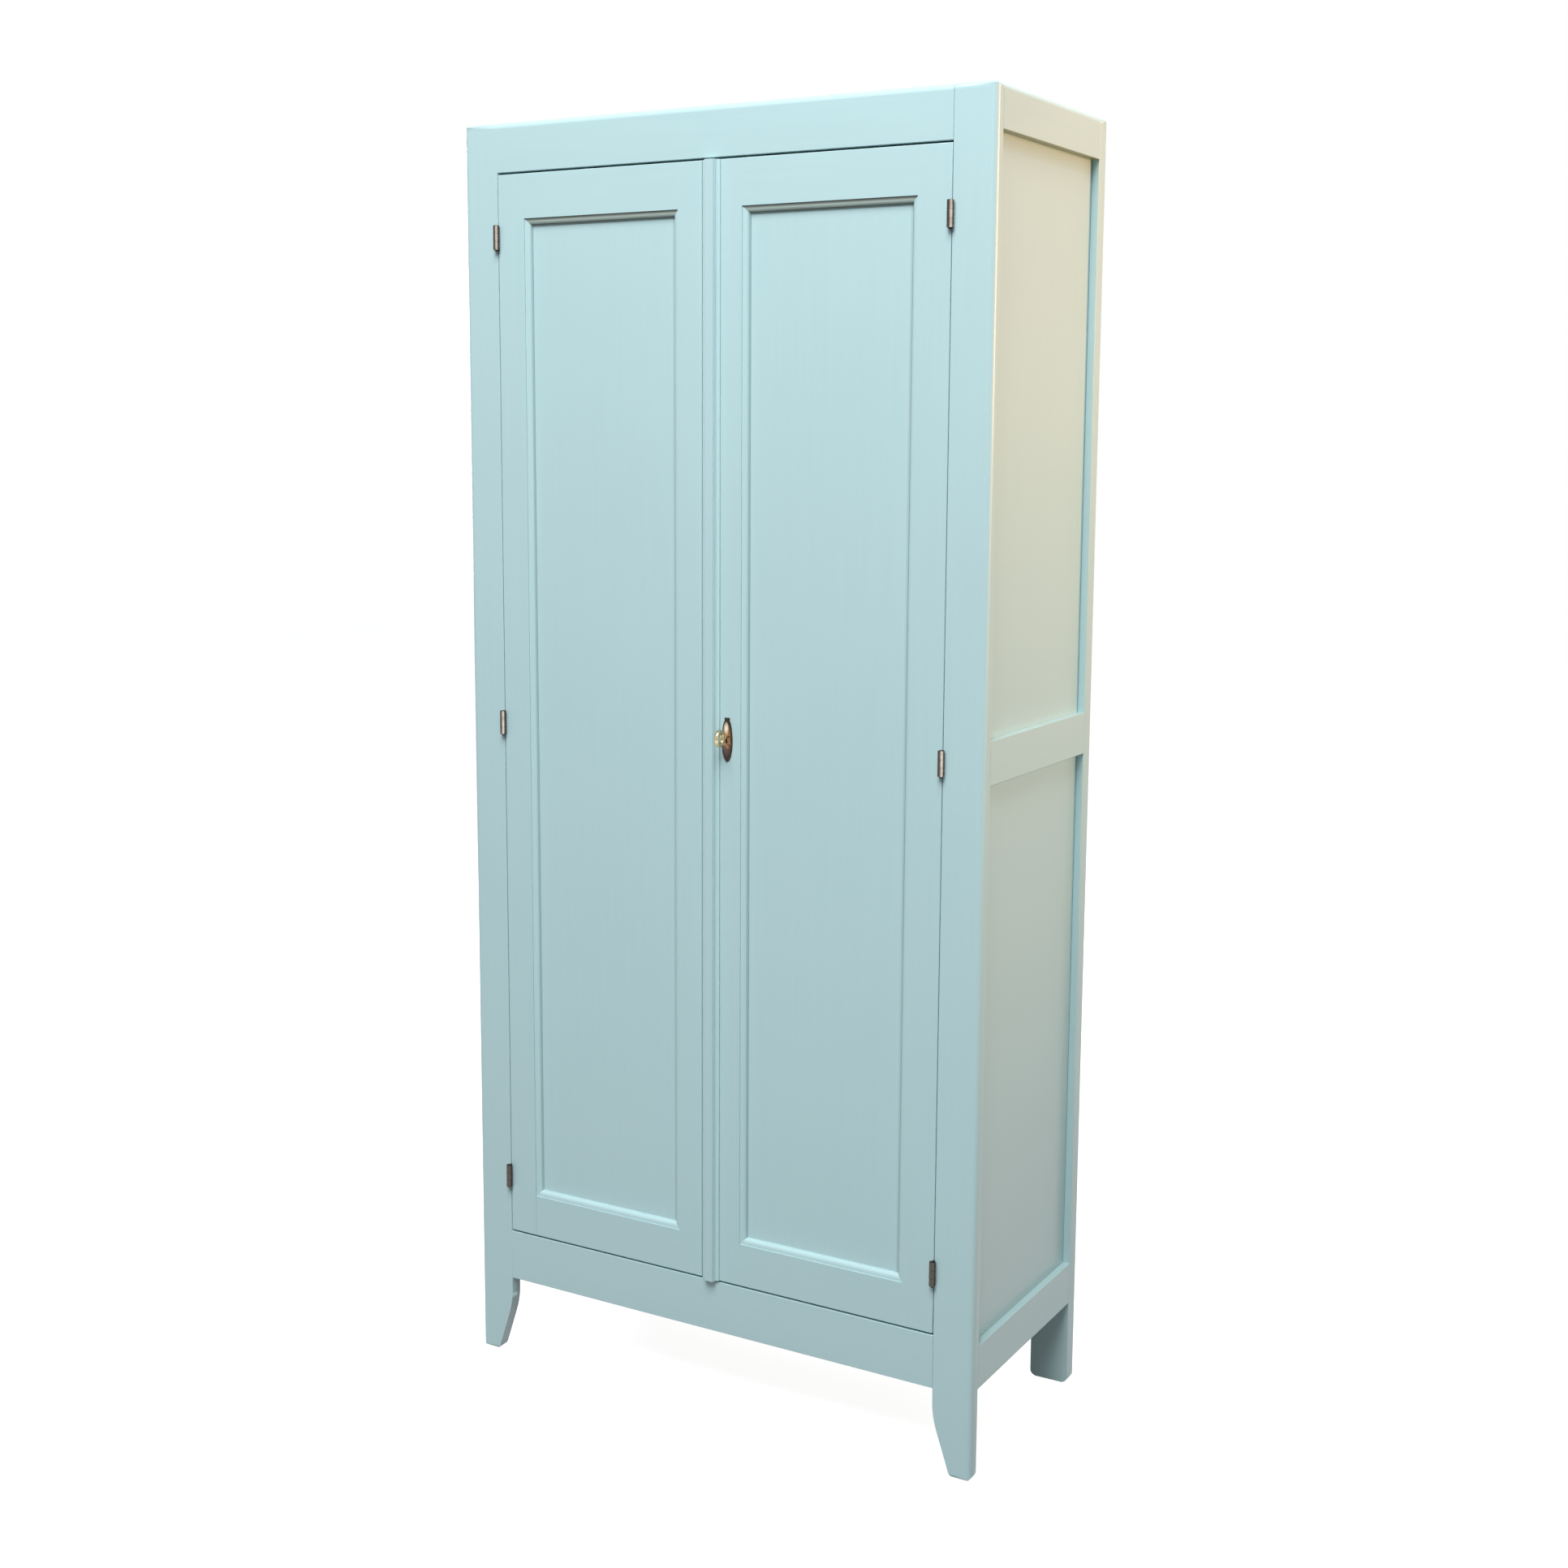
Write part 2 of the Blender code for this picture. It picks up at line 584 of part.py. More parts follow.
def build_door(door, axis):
    side = SIDES[door]
    hinge_edge = side * DOOR_HINGE_EDGE
    meeting_edge = MEETING_EDGES[door]
    hinge_sight = hinge_edge - side * HINGE_STILE_WIDTHS[door]
    meeting_sight = meeting_edge + side * MEETING_STILE_WIDTHS[door]
    low_sight, high_sight = inset(DOOR_Z, DOOR_RAIL_HEIGHT)
    thick = (FRONT, BEHIND_FRONT)
    sink = FRONT + PANEL_SINK
    edge = MOULDING_WIDTH - INTO_GROOVE
    panel = (
        inset((hinge_sight, meeting_sight), edge),
        (sink, sink + PANEL_THICKNESS),
        inset((low_sight, high_sight), edge),
    )
    groove = grown(panel)
    rails = {"bottom": (DOOR_Z[0], low_sight, 1), "top": (DOOR_Z[1], high_sight, -1)}
    middle = (FRONT + BEHIND_FRONT) / 2
    tenon_y = (middle - TENON_THICKNESS / 2, middle + TENON_THICKNESS / 2)
    tenon_x = inset((hinge_sight, meeting_sight), -TENON_LENGTH)
    tenons = {}
    for where, (outside, sight, _) in rails.items():
        tenons[where] = (tenon_x, tenon_y, inset((outside, sight), TENON_SHOULDER))

    def stile(name, edge_x, sight_x, inward, seats, rounded=False):
        shape = boxes(((edge_x, sight_x), thick, DOOR_Z))
        if rounded:
            bevel(shape, MEETING_ROUND, ARC_STEPS, lambda edge: at(edge, x=edge_x, y=FRONT))
        ease(shape, [{"x": sight_x}])
        moulded = moulding((sight_x, FRONT, low_sight), (0, 0, 1), (inward, 0, 0), high_sight - low_sight)
        mortises = boxes(*[grown(tenon) for tenon in tenons.values()])
        piece(name, shape, PAINT, add=[moulded], cut=[boxes(groove), mortises, *seats], axis=axis)

    leaf_seats = [grown(door_leaf_plate(side, height)) for height in HINGE_HEIGHTS.values()]
    stile(f"{door}_door_hinge_stile", hinge_edge, hinge_sight, -side, [boxes(*leaf_seats)])
    lock_seats = keyhole() if door == "right" else []
    stile(f"{door}_door_meeting_stile", meeting_edge, meeting_sight, side, lock_seats, door == "left")

    start, end = inset((hinge_sight, meeting_sight), CLEARANCE)
    for where, (outside, sight, upward) in rails.items():
        shape = board(((start, end), thick, (outside, sight)), [{"x": start}, {"x": end}, {"z": sight}])
        corner = (min(hinge_sight, meeting_sight), FRONT, sight)
        length = abs(hinge_sight - meeting_sight)
        moulded = moulding(corner, (1, 0, 0), (0, 0, upward), length)
        name = f"{door}_door_{where}_rail"
        piece(name, shape, PAINT, add=[moulded, boxes(tenons[where])], cut=[boxes(groove)], axis=axis)
    piece(f"{door}_door_panel", boxes(panel), PAINT, axis=axis)


def build_meeting_strip(axis):
    """The strip along the right door's meeting edge: a flat band between two stepped hollows."""
    half, band = STRIP_WIDTH / 2, STRIP_BAND / 2
    foot, top = STRIP_FOOT, STRIP_PROUD - STRIP_QUIRK
    side = [(half, 0), (half, foot)]
    for step in range(ARC_STEPS + 1):
        turn = math.radians(90) * step / ARC_STEPS
        reach = half - STRIP_FLAT - (half - STRIP_FLAT - band - STRIP_LEDGE) * math.sin(turn)
        side.append((reach, foot + (top - foot) * (1 - math.cos(turn))))
    side += [(band, top), (band, STRIP_PROUD - EASED_EDGE), (band - EASED_EDGE, STRIP_PROUD)]
    profile = side + [(-x, proud) for x, proud in reversed(side)]
    middle = MEETING_EDGES["right"] + half
    seat = FRONT - CLEARANCE
    outline = [(middle + x, min(seat, FRONT - proud), DOOR_Z[0]) for x, proud in profile]
    bm = prism(outline, (0, 0, DOOR_Z[1] - DOOR_Z[0]))
    piece("meeting_strip", bm, PAINT, axis=axis)


# Hinges: the post leaf holds the pin between two knuckles, and the door leaf turns on it

def door_leaf_plate(side, height):
    """The plate of a door leaf, let into the edge of the hinge stile."""
    return (
        mirrored(side, DOOR_HINGE_EDGE - LEAF_THICKNESS, DOOR_HINGE_EDGE),
        (FRONT - CLEARANCE / 2, FRONT + LEAF_DEPTH),
        (height - HINGE_HEIGHT / 2, height + HINGE_HEIGHT / 2),
    )


def build_hinge(name, side, height, axis):
    x = side * HINGE_X
    low, high = height - HINGE_HEIGHT / 2, height + HINGE_HEIGHT / 2
    third = HINGE_HEIGHT / 3
    ends = ((low, low + third - CLEARANCE), (high - third + CLEARANCE, high))
    waist = (low + third, high - third)

    def knuckle(span):
        return rod(BARREL_RADIUS, (x, HINGE_Y, span[0]), (x, HINGE_Y, span[1]), BARREL_SEGMENTS)

    frame_x = mirrored(side, INNER, INNER + LEAF_THICKNESS)
    plate_y = (FRONT - CLEARANCE / 2, FRONT + LEAF_DEPTH)
    frame_plate = boxes((frame_x, plate_y, (low, high)))
    tabs = boxes(*[(frame_x, (HINGE_Y, FRONT + LEAF_DEPTH / 2), inset(span, CLEARANCE)) for span in ends])
    pin = rod(PIN_RADIUS, (x, HINGE_Y, low + third / 2), (x, HINGE_Y, high - third / 2), BARREL_SEGMENTS)
    added = [tabs, knuckle(ends[0]), knuckle(ends[1]), pin]
    piece(f"{name}_post_leaf", frame_plate, DARK_STEEL, add=added)

    door_plate = door_leaf_plate(side, height)
    tab = boxes((door_plate[0], (HINGE_Y, FRONT + LEAF_DEPTH / 2), inset(waist, CLEARANCE)))
    bore = rod(PIN_RADIUS + PIN_CLEARANCE, (x, HINGE_Y, low), (x, HINGE_Y, high), BARREL_SEGMENTS)
    piece(
        f"{name}_door_leaf", boxes(door_plate), DARK_STEEL, add=[tab, knuckle(waist)], cut=[bore], axis=axis,
    )


# Lock on the right door, with its keeper on the left door

def keyhole():
    """The cutters of the keyhole: a round hole for the shank and a slot below it for the bit."""
    before = FRONT - STRIP_PROUD
    radius = KEY_SHANK_RADIUS + CLEARANCE
    slot_x = (KEY_X - KEY_BIT_THICKNESS / 2 - KEYHOLE_SLACK, KEY_X + KEY_BIT_THICKNESS / 2 + KEYHOLE_SLACK)
    slot_z = (KEY_HEIGHT - KEY_BIT_REACH - KEYHOLE_SLACK, KEY_HEIGHT)
    past = BEHIND_FRONT + BOARD
    return [
        rod(radius, (KEY_X, before, KEY_HEIGHT), (KEY_X, past, KEY_HEIGHT), BARREL_SEGMENTS),
        boxes((slot_x, (before, past), slot_z)),
    ]


def build_escutcheon(axis):
    """A long oval, narrower above, with a small square finial on top, pinned over the keyhole."""
    seat = FRONT - CLEARANCE
    half = ESCUTCHEON_WIDTH / 2
    neck = math.acos((FINIAL_WIDTH / 2 + FINIAL_STEP) / half)
    above = ESCUTCHEON_ABOVE / math.sin(neck)
    right = []
    for step in range(ESCUTCHEON_STEPS + 1):
        turn = -math.pi / 2 + (math.pi / 2 + neck) * step / ESCUTCHEON_STEPS
        reach = above if turn > 0 else ESCUTCHEON_BELOW
        right.append((half * math.cos(turn), reach * math.sin(turn)))
    finial = FINIAL_WIDTH / 2
    right += [(finial, ESCUTCHEON_ABOVE), (finial, ESCUTCHEON_ABOVE + FINIAL_HEIGHT)]
    outline = right + [(-x, z) for x, z in reversed(right[1:])]
    middle = KEY_HEIGHT - ESCUTCHEON_DROP
    bm = prism([(KEY_X + x, seat, middle + z) for x, z in outline], (0, -ESCUTCHEON_THICKNESS, 0))
    front = seat - ESCUTCHEON_THICKNESS
    bevel(bm, ESCUTCHEON_BEVEL, 1, lambda edge: at(edge, y=front))
    piece("escutcheon", bm, BRASS, cut=keyhole(), axis=axis)


def build_key(axis):
    """A key standing in the lock: oval bow, collar, round shank, and a bit pointing down."""
    collar_y = FRONT - CLEARANCE - ESCUTCHEON_THICKNESS - KEY_COLLAR_GAP
    bow_end = collar_y - KEY_COLLAR_LENGTH
    bit_y = BEHIND_FRONT + BOLT_BEHIND_DOOR
    tip = bit_y + KEY_BIT_WIDTH + KEY_SHANK_RADIUS
    start = (KEY_X, bow_end, KEY_HEIGHT)
    shank = rod(KEY_SHANK_RADIUS, start, (KEY_X, tip, KEY_HEIGHT), BARREL_SEGMENTS)
    collar = rod(KEY_COLLAR_RADIUS, start, (KEY_X, collar_y, KEY_HEIGHT), BARREL_SEGMENTS)
    bit_x = (KEY_X - KEY_BIT_THICKNESS / 2, KEY_X + KEY_BIT_THICKNESS / 2)
    bit = boxes((bit_x, (bit_y, bit_y + KEY_BIT_WIDTH), (KEY_HEIGHT - KEY_BIT_REACH, KEY_HEIGHT)))

    bow = bmesh.new()
    ring = (BOW_HEIGHT - BOW_THICKNESS) / 2
    across = Matrix.Translation((0, 0, ring)) @ Matrix.Rotation(math.radians(90), 4, "X")
    circle = bmesh.ops.create_circle(bow, segments=BOW_SIDES, radius=BOW_THICKNESS / 2, matrix=across)
    rim = {edge for vert in circle["verts"] for edge in vert.link_edges}
    bmesh.ops.spin(
        bow, geom=list(circle["verts"]) + list(rim), cent=(0, 0, 0), axis=(1, 0, 0),
        angle=math.radians(360), steps=BOW_STEPS, use_merge=True,
    )
    stretch = (BOW_LENGTH - BOW_THICKNESS) / (BOW_HEIGHT - BOW_THICKNESS)
    place = Matrix.Translation((KEY_X, bow_end - BOW_LENGTH / 2 + BOW_THICKNESS / 2, KEY_HEIGHT))
    flatten = Matrix.Diagonal((BOW_BREADTH / BOW_THICKNESS, stretch, 1, 1))
    bmesh.ops.transform(bow, matrix=place @ flatten, verts=bow.verts)
    piece("key", shank, BRASS, add=[collar, bow, bit], axis=axis)


def build_lock(door_axis, bolt_axis, keeper_axis):
    seat = BEHIND_FRONT + CLEARANCE
    case_z = (KEY_HEIGHT - CASE_HEIGHT / 2, KEY_HEIGHT + CASE_HEIGHT / 2)
    case = (CASE_X, (seat, BEHIND_FRONT + CASE_DEPTH), case_z)
    bolt_z = (BOLT_Z - BOLT_HEIGHT / 2, BOLT_Z + BOLT_HEIGHT / 2)
    hollow = (inset(CASE_X, CASE_WALL), (seat - CASE_WALL, BEHIND_FRONT + CASE_DEPTH - CASE_WALL),
              inset(case_z, CASE_WALL))
    mouth = grown(((CASE_X[0] - CASE_WALL, CASE_X[0] + 2 * CASE_WALL), BOLT_Y, bolt_z))
    piece("lock_case", board(case), DARK_STEEL, cut=[boxes(hollow), boxes(mouth)], axis=door_axis)

    bolt = ((CASE_X[0] + CLEARANCE, CASE_X[0] + BOLT_LENGTH), BOLT_Y, bolt_z)
    piece("lock_bolt", boxes(bolt), DARK_STEEL, axis=bolt_axis)

    keeper_edge = MEETING_EDGES["left"] - KEEPER_FROM_EDGE
    keeper_x = (keeper_edge - BOLT_THROW - KEEPER_WALL, keeper_edge)
    bridge = (keeper_x, (seat, BOLT_Y[1] + CLEARANCE + KEEPER_WALL), inset(bolt_z, -CLEARANCE - KEEPER_WALL))
    flange = (keeper_x, (seat, seat + KEEPER_WALL), inset(bridge[2], -KEEPER_FLANGE))
    channel = grown(((keeper_x[0] - KEEPER_WALL, keeper_x[1] + KEEPER_WALL), BOLT_Y, bolt_z))
    piece(
        "lock_keeper", boxes(bridge), DARK_STEEL, add=[boxes(flange)], cut=[boxes(channel)],
        axis=keeper_axis,
    )


# Slide bolt that holds the left door shut behind the top rail

def build_slide_bolt(door_axis, slide_axis):
    seat = BEHIND_FRONT + CLEARANCE
    slide_y = (seat + GUIDE_WALL + CLEARANCE, seat + GUIDE_WALL + CLEARANCE + SLIDE_THICKNESS)
    slide_x = (SLIDE_X - SLIDE_WIDTH / 2, SLIDE_X + SLIDE_WIDTH / 2)
    top = DOOR_Z[1] - SLIDE_BELOW_TOP
    slide = (slide_x, slide_y, (top - SLIDE_LENGTH, top))
    knob_z = top - SLIDE_LENGTH + SLIDE_WIDTH
    knob = rod(
        KNOB_RADIUS, (SLIDE_X, slide_y[1] - SLIDE_THICKNESS / 2, knob_z),
        (SLIDE_X, slide_y[1] + KNOB_LENGTH, knob_z), BARREL_SEGMENTS,
    )
    piece("left_door_bolt", boxes(slide), DARK_STEEL, add=[knob], axis=slide_axis)

    guide_top = DOOR_Z[1] - GUIDE_BELOW_TOP
    guide_z = (guide_top - GUIDE_HEIGHT, guide_top)
    sleeve_x = inset(slide_x, -CLEARANCE - GUIDE_WALL)
    sleeve = (sleeve_x, (seat, slide_y[1] + CLEARANCE + GUIDE_WALL), guide_z)
    plate = (inset(sleeve_x, -GUIDE_FLANGE), (seat, seat + GUIDE_WALL), guide_z)
    channel = grown((slide_x, slide_y, inset(guide_z, -GUIDE_WALL)))
    piece(
        "left_door_bolt_guide", boxes(sleeve), DARK_STEEL, add=[boxes(plate)], cut=[boxes(channel)],
        axis=door_axis,
    )


def build():
    for obj in list(bpy.data.objects):
        bpy.data.objects.remove(obj)
    door_axes = {
        door: axis_at(f"{door}_door_axis", (side * HINGE_X, HINGE_Y, sum(DOOR_Z) / 2))
        for door, side in SIDES.items()
    }
    key_axis = axis_at("key_axis", (KEY_X, FRONT, KEY_HEIGHT), door_axes["right"])
    bolt_axis = axis_at("lock_bolt_axis", (CASE_X[0], BOLT_Y[0], BOLT_Z), door_axes["right"])
    slide_axis = axis_at("slide_bolt_axis", (SLIDE_X, BEHIND_FRONT, DOOR_Z[1]), door_axes["left"])
    build_carcass()
    build_inside()
    for door, axis in door_axes.items():
        build_door(door, axis)
        for where, height in HINGE_HEIGHTS.items():
            build_hinge(f"{door}_{where}_hinge", SIDES[door], height, axis)
    build_meeting_strip(door_axes["right"])
    build_escutcheon(door_axes["right"])
    build_key(key_axis)
    build_lock(door_axes["right"], bolt_axis, door_axes["left"])
    build_slide_bolt(door_axes["left"], slide_axis)


build()
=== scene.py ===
import math

import bmesh
import bpy
from mathutils import Matrix, Vector


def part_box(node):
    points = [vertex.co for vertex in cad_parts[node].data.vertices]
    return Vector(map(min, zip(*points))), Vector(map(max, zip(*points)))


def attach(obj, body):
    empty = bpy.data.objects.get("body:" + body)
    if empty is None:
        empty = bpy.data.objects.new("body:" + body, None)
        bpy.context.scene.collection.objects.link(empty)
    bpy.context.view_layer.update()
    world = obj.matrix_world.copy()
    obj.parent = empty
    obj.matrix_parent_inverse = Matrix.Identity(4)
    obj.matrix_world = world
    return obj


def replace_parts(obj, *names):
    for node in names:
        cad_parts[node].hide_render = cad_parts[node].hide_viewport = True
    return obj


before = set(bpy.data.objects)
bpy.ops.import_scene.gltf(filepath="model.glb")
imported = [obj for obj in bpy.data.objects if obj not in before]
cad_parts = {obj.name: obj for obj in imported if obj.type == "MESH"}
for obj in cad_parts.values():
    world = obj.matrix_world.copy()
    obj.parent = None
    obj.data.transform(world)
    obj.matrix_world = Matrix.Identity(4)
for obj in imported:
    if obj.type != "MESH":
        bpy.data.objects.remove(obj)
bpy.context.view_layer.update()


# Posts: planed boards rounded on their outer edges and painted by brush in a pale blue satin paint.
# The front pair ends in legs that taper on the inner side, and the rear pair runs straight down.

def add_node(tree, kind, inputs=None, **settings):
    """Add a node, set its properties, and set or link its inputs."""
    made = tree.nodes.new(kind)
    for name, value in settings.items():
        setattr(made, name, value)
    for socket, value in (inputs or {}).items():
        if isinstance(value, bpy.types.NodeSocket):
            tree.links.new(value, made.inputs[socket])
        else:
            made.inputs[socket].default_value = value
    return made


def own_place(tree):
    """Where a point lies in the piece's own coordinates."""
    return add_node(tree, "ShaderNodeTexCoord").outputs["Object"]


def math_result(tree, operation, *values):
    """A sum, a product or the like of numbers and sockets."""
    return add_node(tree, "ShaderNodeMath", dict(enumerate(values)), operation=operation).outputs[0]


def vector_result(tree, operation, *vectors):
    """The same for vectors: the outputs give a Vector or a Value."""
    return add_node(tree, "ShaderNodeVectorMath", dict(enumerate(vectors)), operation=operation).outputs


def new_group(name, inputs, outputs):
    """An empty shader node group with these sockets, and its input node."""
    group = bpy.data.node_groups.new(name, "ShaderNodeTree")
    for socket, kind in inputs.items():
        group.interface.new_socket(socket, in_out="INPUT", socket_type=kind)
    for socket in outputs:
        group.interface.new_socket(socket, in_out="OUTPUT", socket_type="NodeSocketFloat")
    return group, add_node(group, "NodeGroupInput")


def stretched_noise(group, stretch, scale, detail, distortion=0.0):
    """Noise on the piece's own coordinates, drawn out by the stretch vector."""
    drawn = vector_result(group, "MULTIPLY", own_place(group), stretch)["Vector"]
    settings = {"Vector": drawn, "Scale": scale, "Detail": detail, "Distortion": distortion}
    return add_node(group, "ShaderNodeTexNoise", settings).outputs["Fac"]


def spread(tree, value, low, high):
    """The part of a value between low and high, as 0 to 1."""
    limits = {"Value": value, "From Min": low, "From Max": high}
    return add_node(tree, "ShaderNodeMapRange", limits).outputs[0]


def between(tree, factor, low, high):
    """A value or a colour from low to high as the factor goes from 0 to 1."""
    if isinstance(high, tuple):
        colour_a, colour_b, colour_out = 6, 7, 2
        mix = add_node(tree, "ShaderNodeMix", {0: factor, colour_a: low, colour_b: high}, data_type="RGBA")
        return mix.outputs[colour_out]
    limits = {"Value": factor, "To Min": low, "To Max": high}
    return add_node(tree, "ShaderNodeMapRange", limits).outputs[0]


def surface(name):
    """A new material, its node tree and its shader."""
    material = bpy.data.materials.new(name)
    material.use_nodes = True
    return material, material.node_tree, material.node_tree.nodes["Principled BSDF"]


def raise_by(tree, shader, height, distance):
    """Give the shader a fine relief from a height."""
    bump = add_node(tree, "ShaderNodeBump", {"Height": height, "Strength": 1.0, "Distance": distance})
    tree.links.new(bump.outputs["Normal"], shader.inputs["Normal"])


ALL_WAYS = (1.0, 1.0, 1.0)
brush_marks, brush_in = new_group(
    "brush_marks", {"Stretch": "NodeSocketVector"}, ("Streak", "Ridge", "Cloud"))
streaks = stretched_noise(brush_marks, brush_in.outputs[0], scale=110, detail=3)
clouds = stretched_noise(brush_marks, ALL_WAYS, scale=4.5, detail=3)
brush_out = {
    "Streak": spread(brush_marks, streaks, 0.3, 0.7),
    "Ridge": stretched_noise(brush_marks, brush_in.outputs[0], scale=420, detail=2),
    "Cloud": spread(brush_marks, clouds, 0.3, 0.7),
}
add_node(brush_marks, "NodeGroupOutput", brush_out)

PAINT_DEEP, PAINT_PALE = (0.491, 0.678, 0.694, 1), (0.508, 0.695, 0.709, 1)


def brushed_paint(name, stretch):
    """Satin paint with brush marks that run along the board."""
    material, tree, shader = surface(name)
    marks = add_node(tree, "ShaderNodeGroup", {"Stretch": stretch}, node_tree=brush_marks).outputs
    shade = math_result(tree, "ADD", marks["Streak"], marks["Cloud"])
    colour = between(tree, spread(tree, shade, 0.2, 1.8), PAINT_DEEP, PAINT_PALE)
    tree.links.new(colour, shader.inputs["Base Color"])
    tree.links.new(between(tree, marks["Streak"], 0.30, 0.38), shader.inputs["Roughness"])
    raise_by(tree, shader, marks["Ridge"], distance=0.00003)
    return material


UPRIGHT, LEVEL, CROSSWISE = (1.0, 1.0, 0.04), (0.04, 1.0, 1.0), (1.0, 0.04, 1.0)
upright_paint = brushed_paint("upright_paint", UPRIGHT)
level_paint = brushed_paint("level_paint", LEVEL)
crosswise_paint = brushed_paint("crosswise_paint", CROSSWISE)


def new_piece(name, shape, body, material):
    """Turn a finished shape into a piece that rides on its body."""
    mesh = bpy.data.meshes.new(name)
    shape.to_mesh(mesh)
    shape.free()
    piece = bpy.data.objects.new(name, mesh)
    bpy.context.scene.collection.objects.link(piece)
    piece.data.materials.append(material)
    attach(piece, body)
    return piece


def shade_rounds(shape, crease):
    """Shade a shape smoothly, but for the edges that turn by more than the crease, in degrees."""
    for face in shape.faces:
        face.smooth = True
    for edge in shape.edges:
        edge.smooth = edge.calc_face_angle(0) < math.radians(crease)


SAME_POINT = 0.00001


def finished(node, body, material, crease, joints=None):
    """A piece in the solid's own shape, its triangles joined and its rounds shaded as rounds."""
    shape = bmesh.new()
    shape.from_mesh(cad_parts[node].data)
    bmesh.ops.remove_doubles(shape, verts=shape.verts, dist=SAME_POINT)
    bmesh.ops.dissolve_limit(
        shape, angle_limit=math.radians(0.5), verts=shape.verts, edges=shape.edges,
        use_dissolve_boundaries=False)
    if joints:
        fill_joints(shape, *joints)
    shade_rounds(shape, crease)
    piece = new_piece(f"{node}_finished", shape, body, material)
    weighted = piece.modifiers.new("flat_faces", "WEIGHTED_NORMAL")
    weighted.keep_sharp = True
    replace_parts(piece, node)
    return piece


BOARD_CREASE = 50
for side in ("left", "right"):
    for face in ("front", "rear"):
        finished(f"{face}_{side}_post", "carcass", upright_paint, BOARD_CREASE)


# Rails of the carcass: boards tenoned between the posts and brushed along their length, the top ones rounded
# over on the outer edge in line with the posts. Paint fills their joints, but for the right end of the front
# top rail, which has opened a little. A painted shade, olive like a warm shadow, lies along the lower edge of
# the sides' top rails.

def fill_joints(shape, along, facing, outward, open_end=None):
    """Draw a rail's shoulders out to the boards it meets, as paint fills a joint, but for an open end."""
    paint_fill = 0.00028
    face = max(vert.co[facing] * outward for vert in shape.verts)
    ends = [vert.co[along] for vert in shape.verts if vert.co[facing] * outward > face - SAME_POINT]
    shoulders = [
        (end, sign * paint_fill) for end, sign in ((min(ends), -1), (max(ends), 1)) if sign != open_end]
    for vert in shape.verts:
        for end, push in shoulders:
            if abs(vert.co[along] - end) < SAME_POINT:
                vert.co[along] += push
                break


def add_painted_shade(material, axis, edge, fade, layers, shade_colour):
    """Paint shade onto a paint along one edge of a board, fading away from it and between layers of depth."""
    tree = material.node_tree
    base = tree.nodes["Principled BSDF"].inputs["Base Color"]
    place = add_node(tree, "ShaderNodeSeparateXYZ", {0: own_place(tree)}).outputs
    away = math_result(tree, "ABSOLUTE", math_result(tree, "SUBTRACT", place[axis], edge))
    painted_shade = spread(tree, away, *fade)
    for clear, covered in layers:
        painted_shade = math_result(tree, "MULTIPLY", painted_shade, spread(tree, place["Y"], clear, covered))
    tree.links.new(between(tree, painted_shade, base.links[0].from_socket, shade_colour), base)


X, Y, Z = range(3)
LEFT, RIGHT, FRONT, BACK = -1, 1, -1, 1
# Painted shade along the underside of the sides' top rails, olive like a warm shadow.
UNDER_RAIL_SHADE, UNDER_RAIL_SHADE_FADE = (0.37, 0.40, 0.25, 1), (0.0016, 0.0004)
finished("front_top_rail", "carcass", level_paint, BOARD_CREASE, (X, Y, FRONT, RIGHT))
finished("front_bottom_rail", "carcass", level_paint, BOARD_CREASE, (X, Y, FRONT))
for where in ("top", "bottom"):
    finished(f"back_{where}_rail", "carcass", level_paint, BOARD_CREASE, (X, Y, BACK))
for side, outward in (("left", LEFT), ("right", RIGHT)):
    shaded_rail_paint = brushed_paint(f"{side}_side_top_rail_paint", CROSSWISE)
    add_painted_shade(shaded_rail_paint, "Z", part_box(f"{side}_side_top_rail")[0].z, UNDER_RAIL_SHADE_FADE, (), UNDER_RAIL_SHADE)
    for where, paint in (("top", shaded_rail_paint), ("middle", crosswise_paint), ("bottom", crosswise_paint)):
        finished(f"{side}_side_{where}_rail", "carcass", paint, BOARD_CREASE, (Y, X, outward))


# Side panels and top panel: thin painted boards held in the grooves of the frames, with no glue, so that they
# stay flat when the wood moves. A warm painted shadow lies on the sides' upper panels below the top rail.

def give_material(node, material):
    """Put a material on a solid that is shown as it is."""
    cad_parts[node].material_slots[0].material = material


# A warm painted shadow on the sides' upper panels, fading down from the top rail.
RAIL_SHADOW, RAIL_SHADOW_FADE = (0.40, 0.49, 0.345, 1), (0.024, -0.003)
for side in ("left", "right"):
    shadowed_panel_paint = brushed_paint(f"{side}_upper_panel_paint", UPRIGHT)
    add_painted_shade(shadowed_panel_paint, "Z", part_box(f"{side}_side_top_rail")[0].z, RAIL_SHADOW_FADE, (), RAIL_SHADOW)
    give_material(f"{side}_side_upper_panel", shadowed_panel_paint)
    give_material(f"{side}_side_lower_panel", upright_paint)
give_material("top_panel", level_paint)


# Back panel, floor and shelves: bare sanded softwood that never got the paint.
# The shelves lie loose on cleats, and each cleat is screwed to the inside of a side frame.

ring_count, half_ring = 9.0, 0.5
wood_grain, grain_in = new_group("wood_grain", {"Stretch": "NodeSocketVector"}, ("Figure", "Fibre"))
growth = stretched_noise(wood_grain, grain_in.outputs[0], scale=7, detail=2, distortion=0.6)
rings = math_result(
    wood_grain, "PINGPONG", math_result(wood_grain, "MULTIPLY", growth, ring_count), half_ring)
fibres = stretched_noise(wood_grain, grain_in.outputs[0], scale=260, detail=2)
grain_out = {
    "Figure": spread(wood_grain, rings, 0.0, half_ring),
    "Fibre": spread(wood_grain, fibres, 0.3, 0.7),
}
add_node(wood_grain, "NodeGroupOutput", grain_out)

EARLY_WOOD, LATE_WOOD = (0.610, 0.440, 0.260, 1), (0.470, 0.310, 0.160, 1)


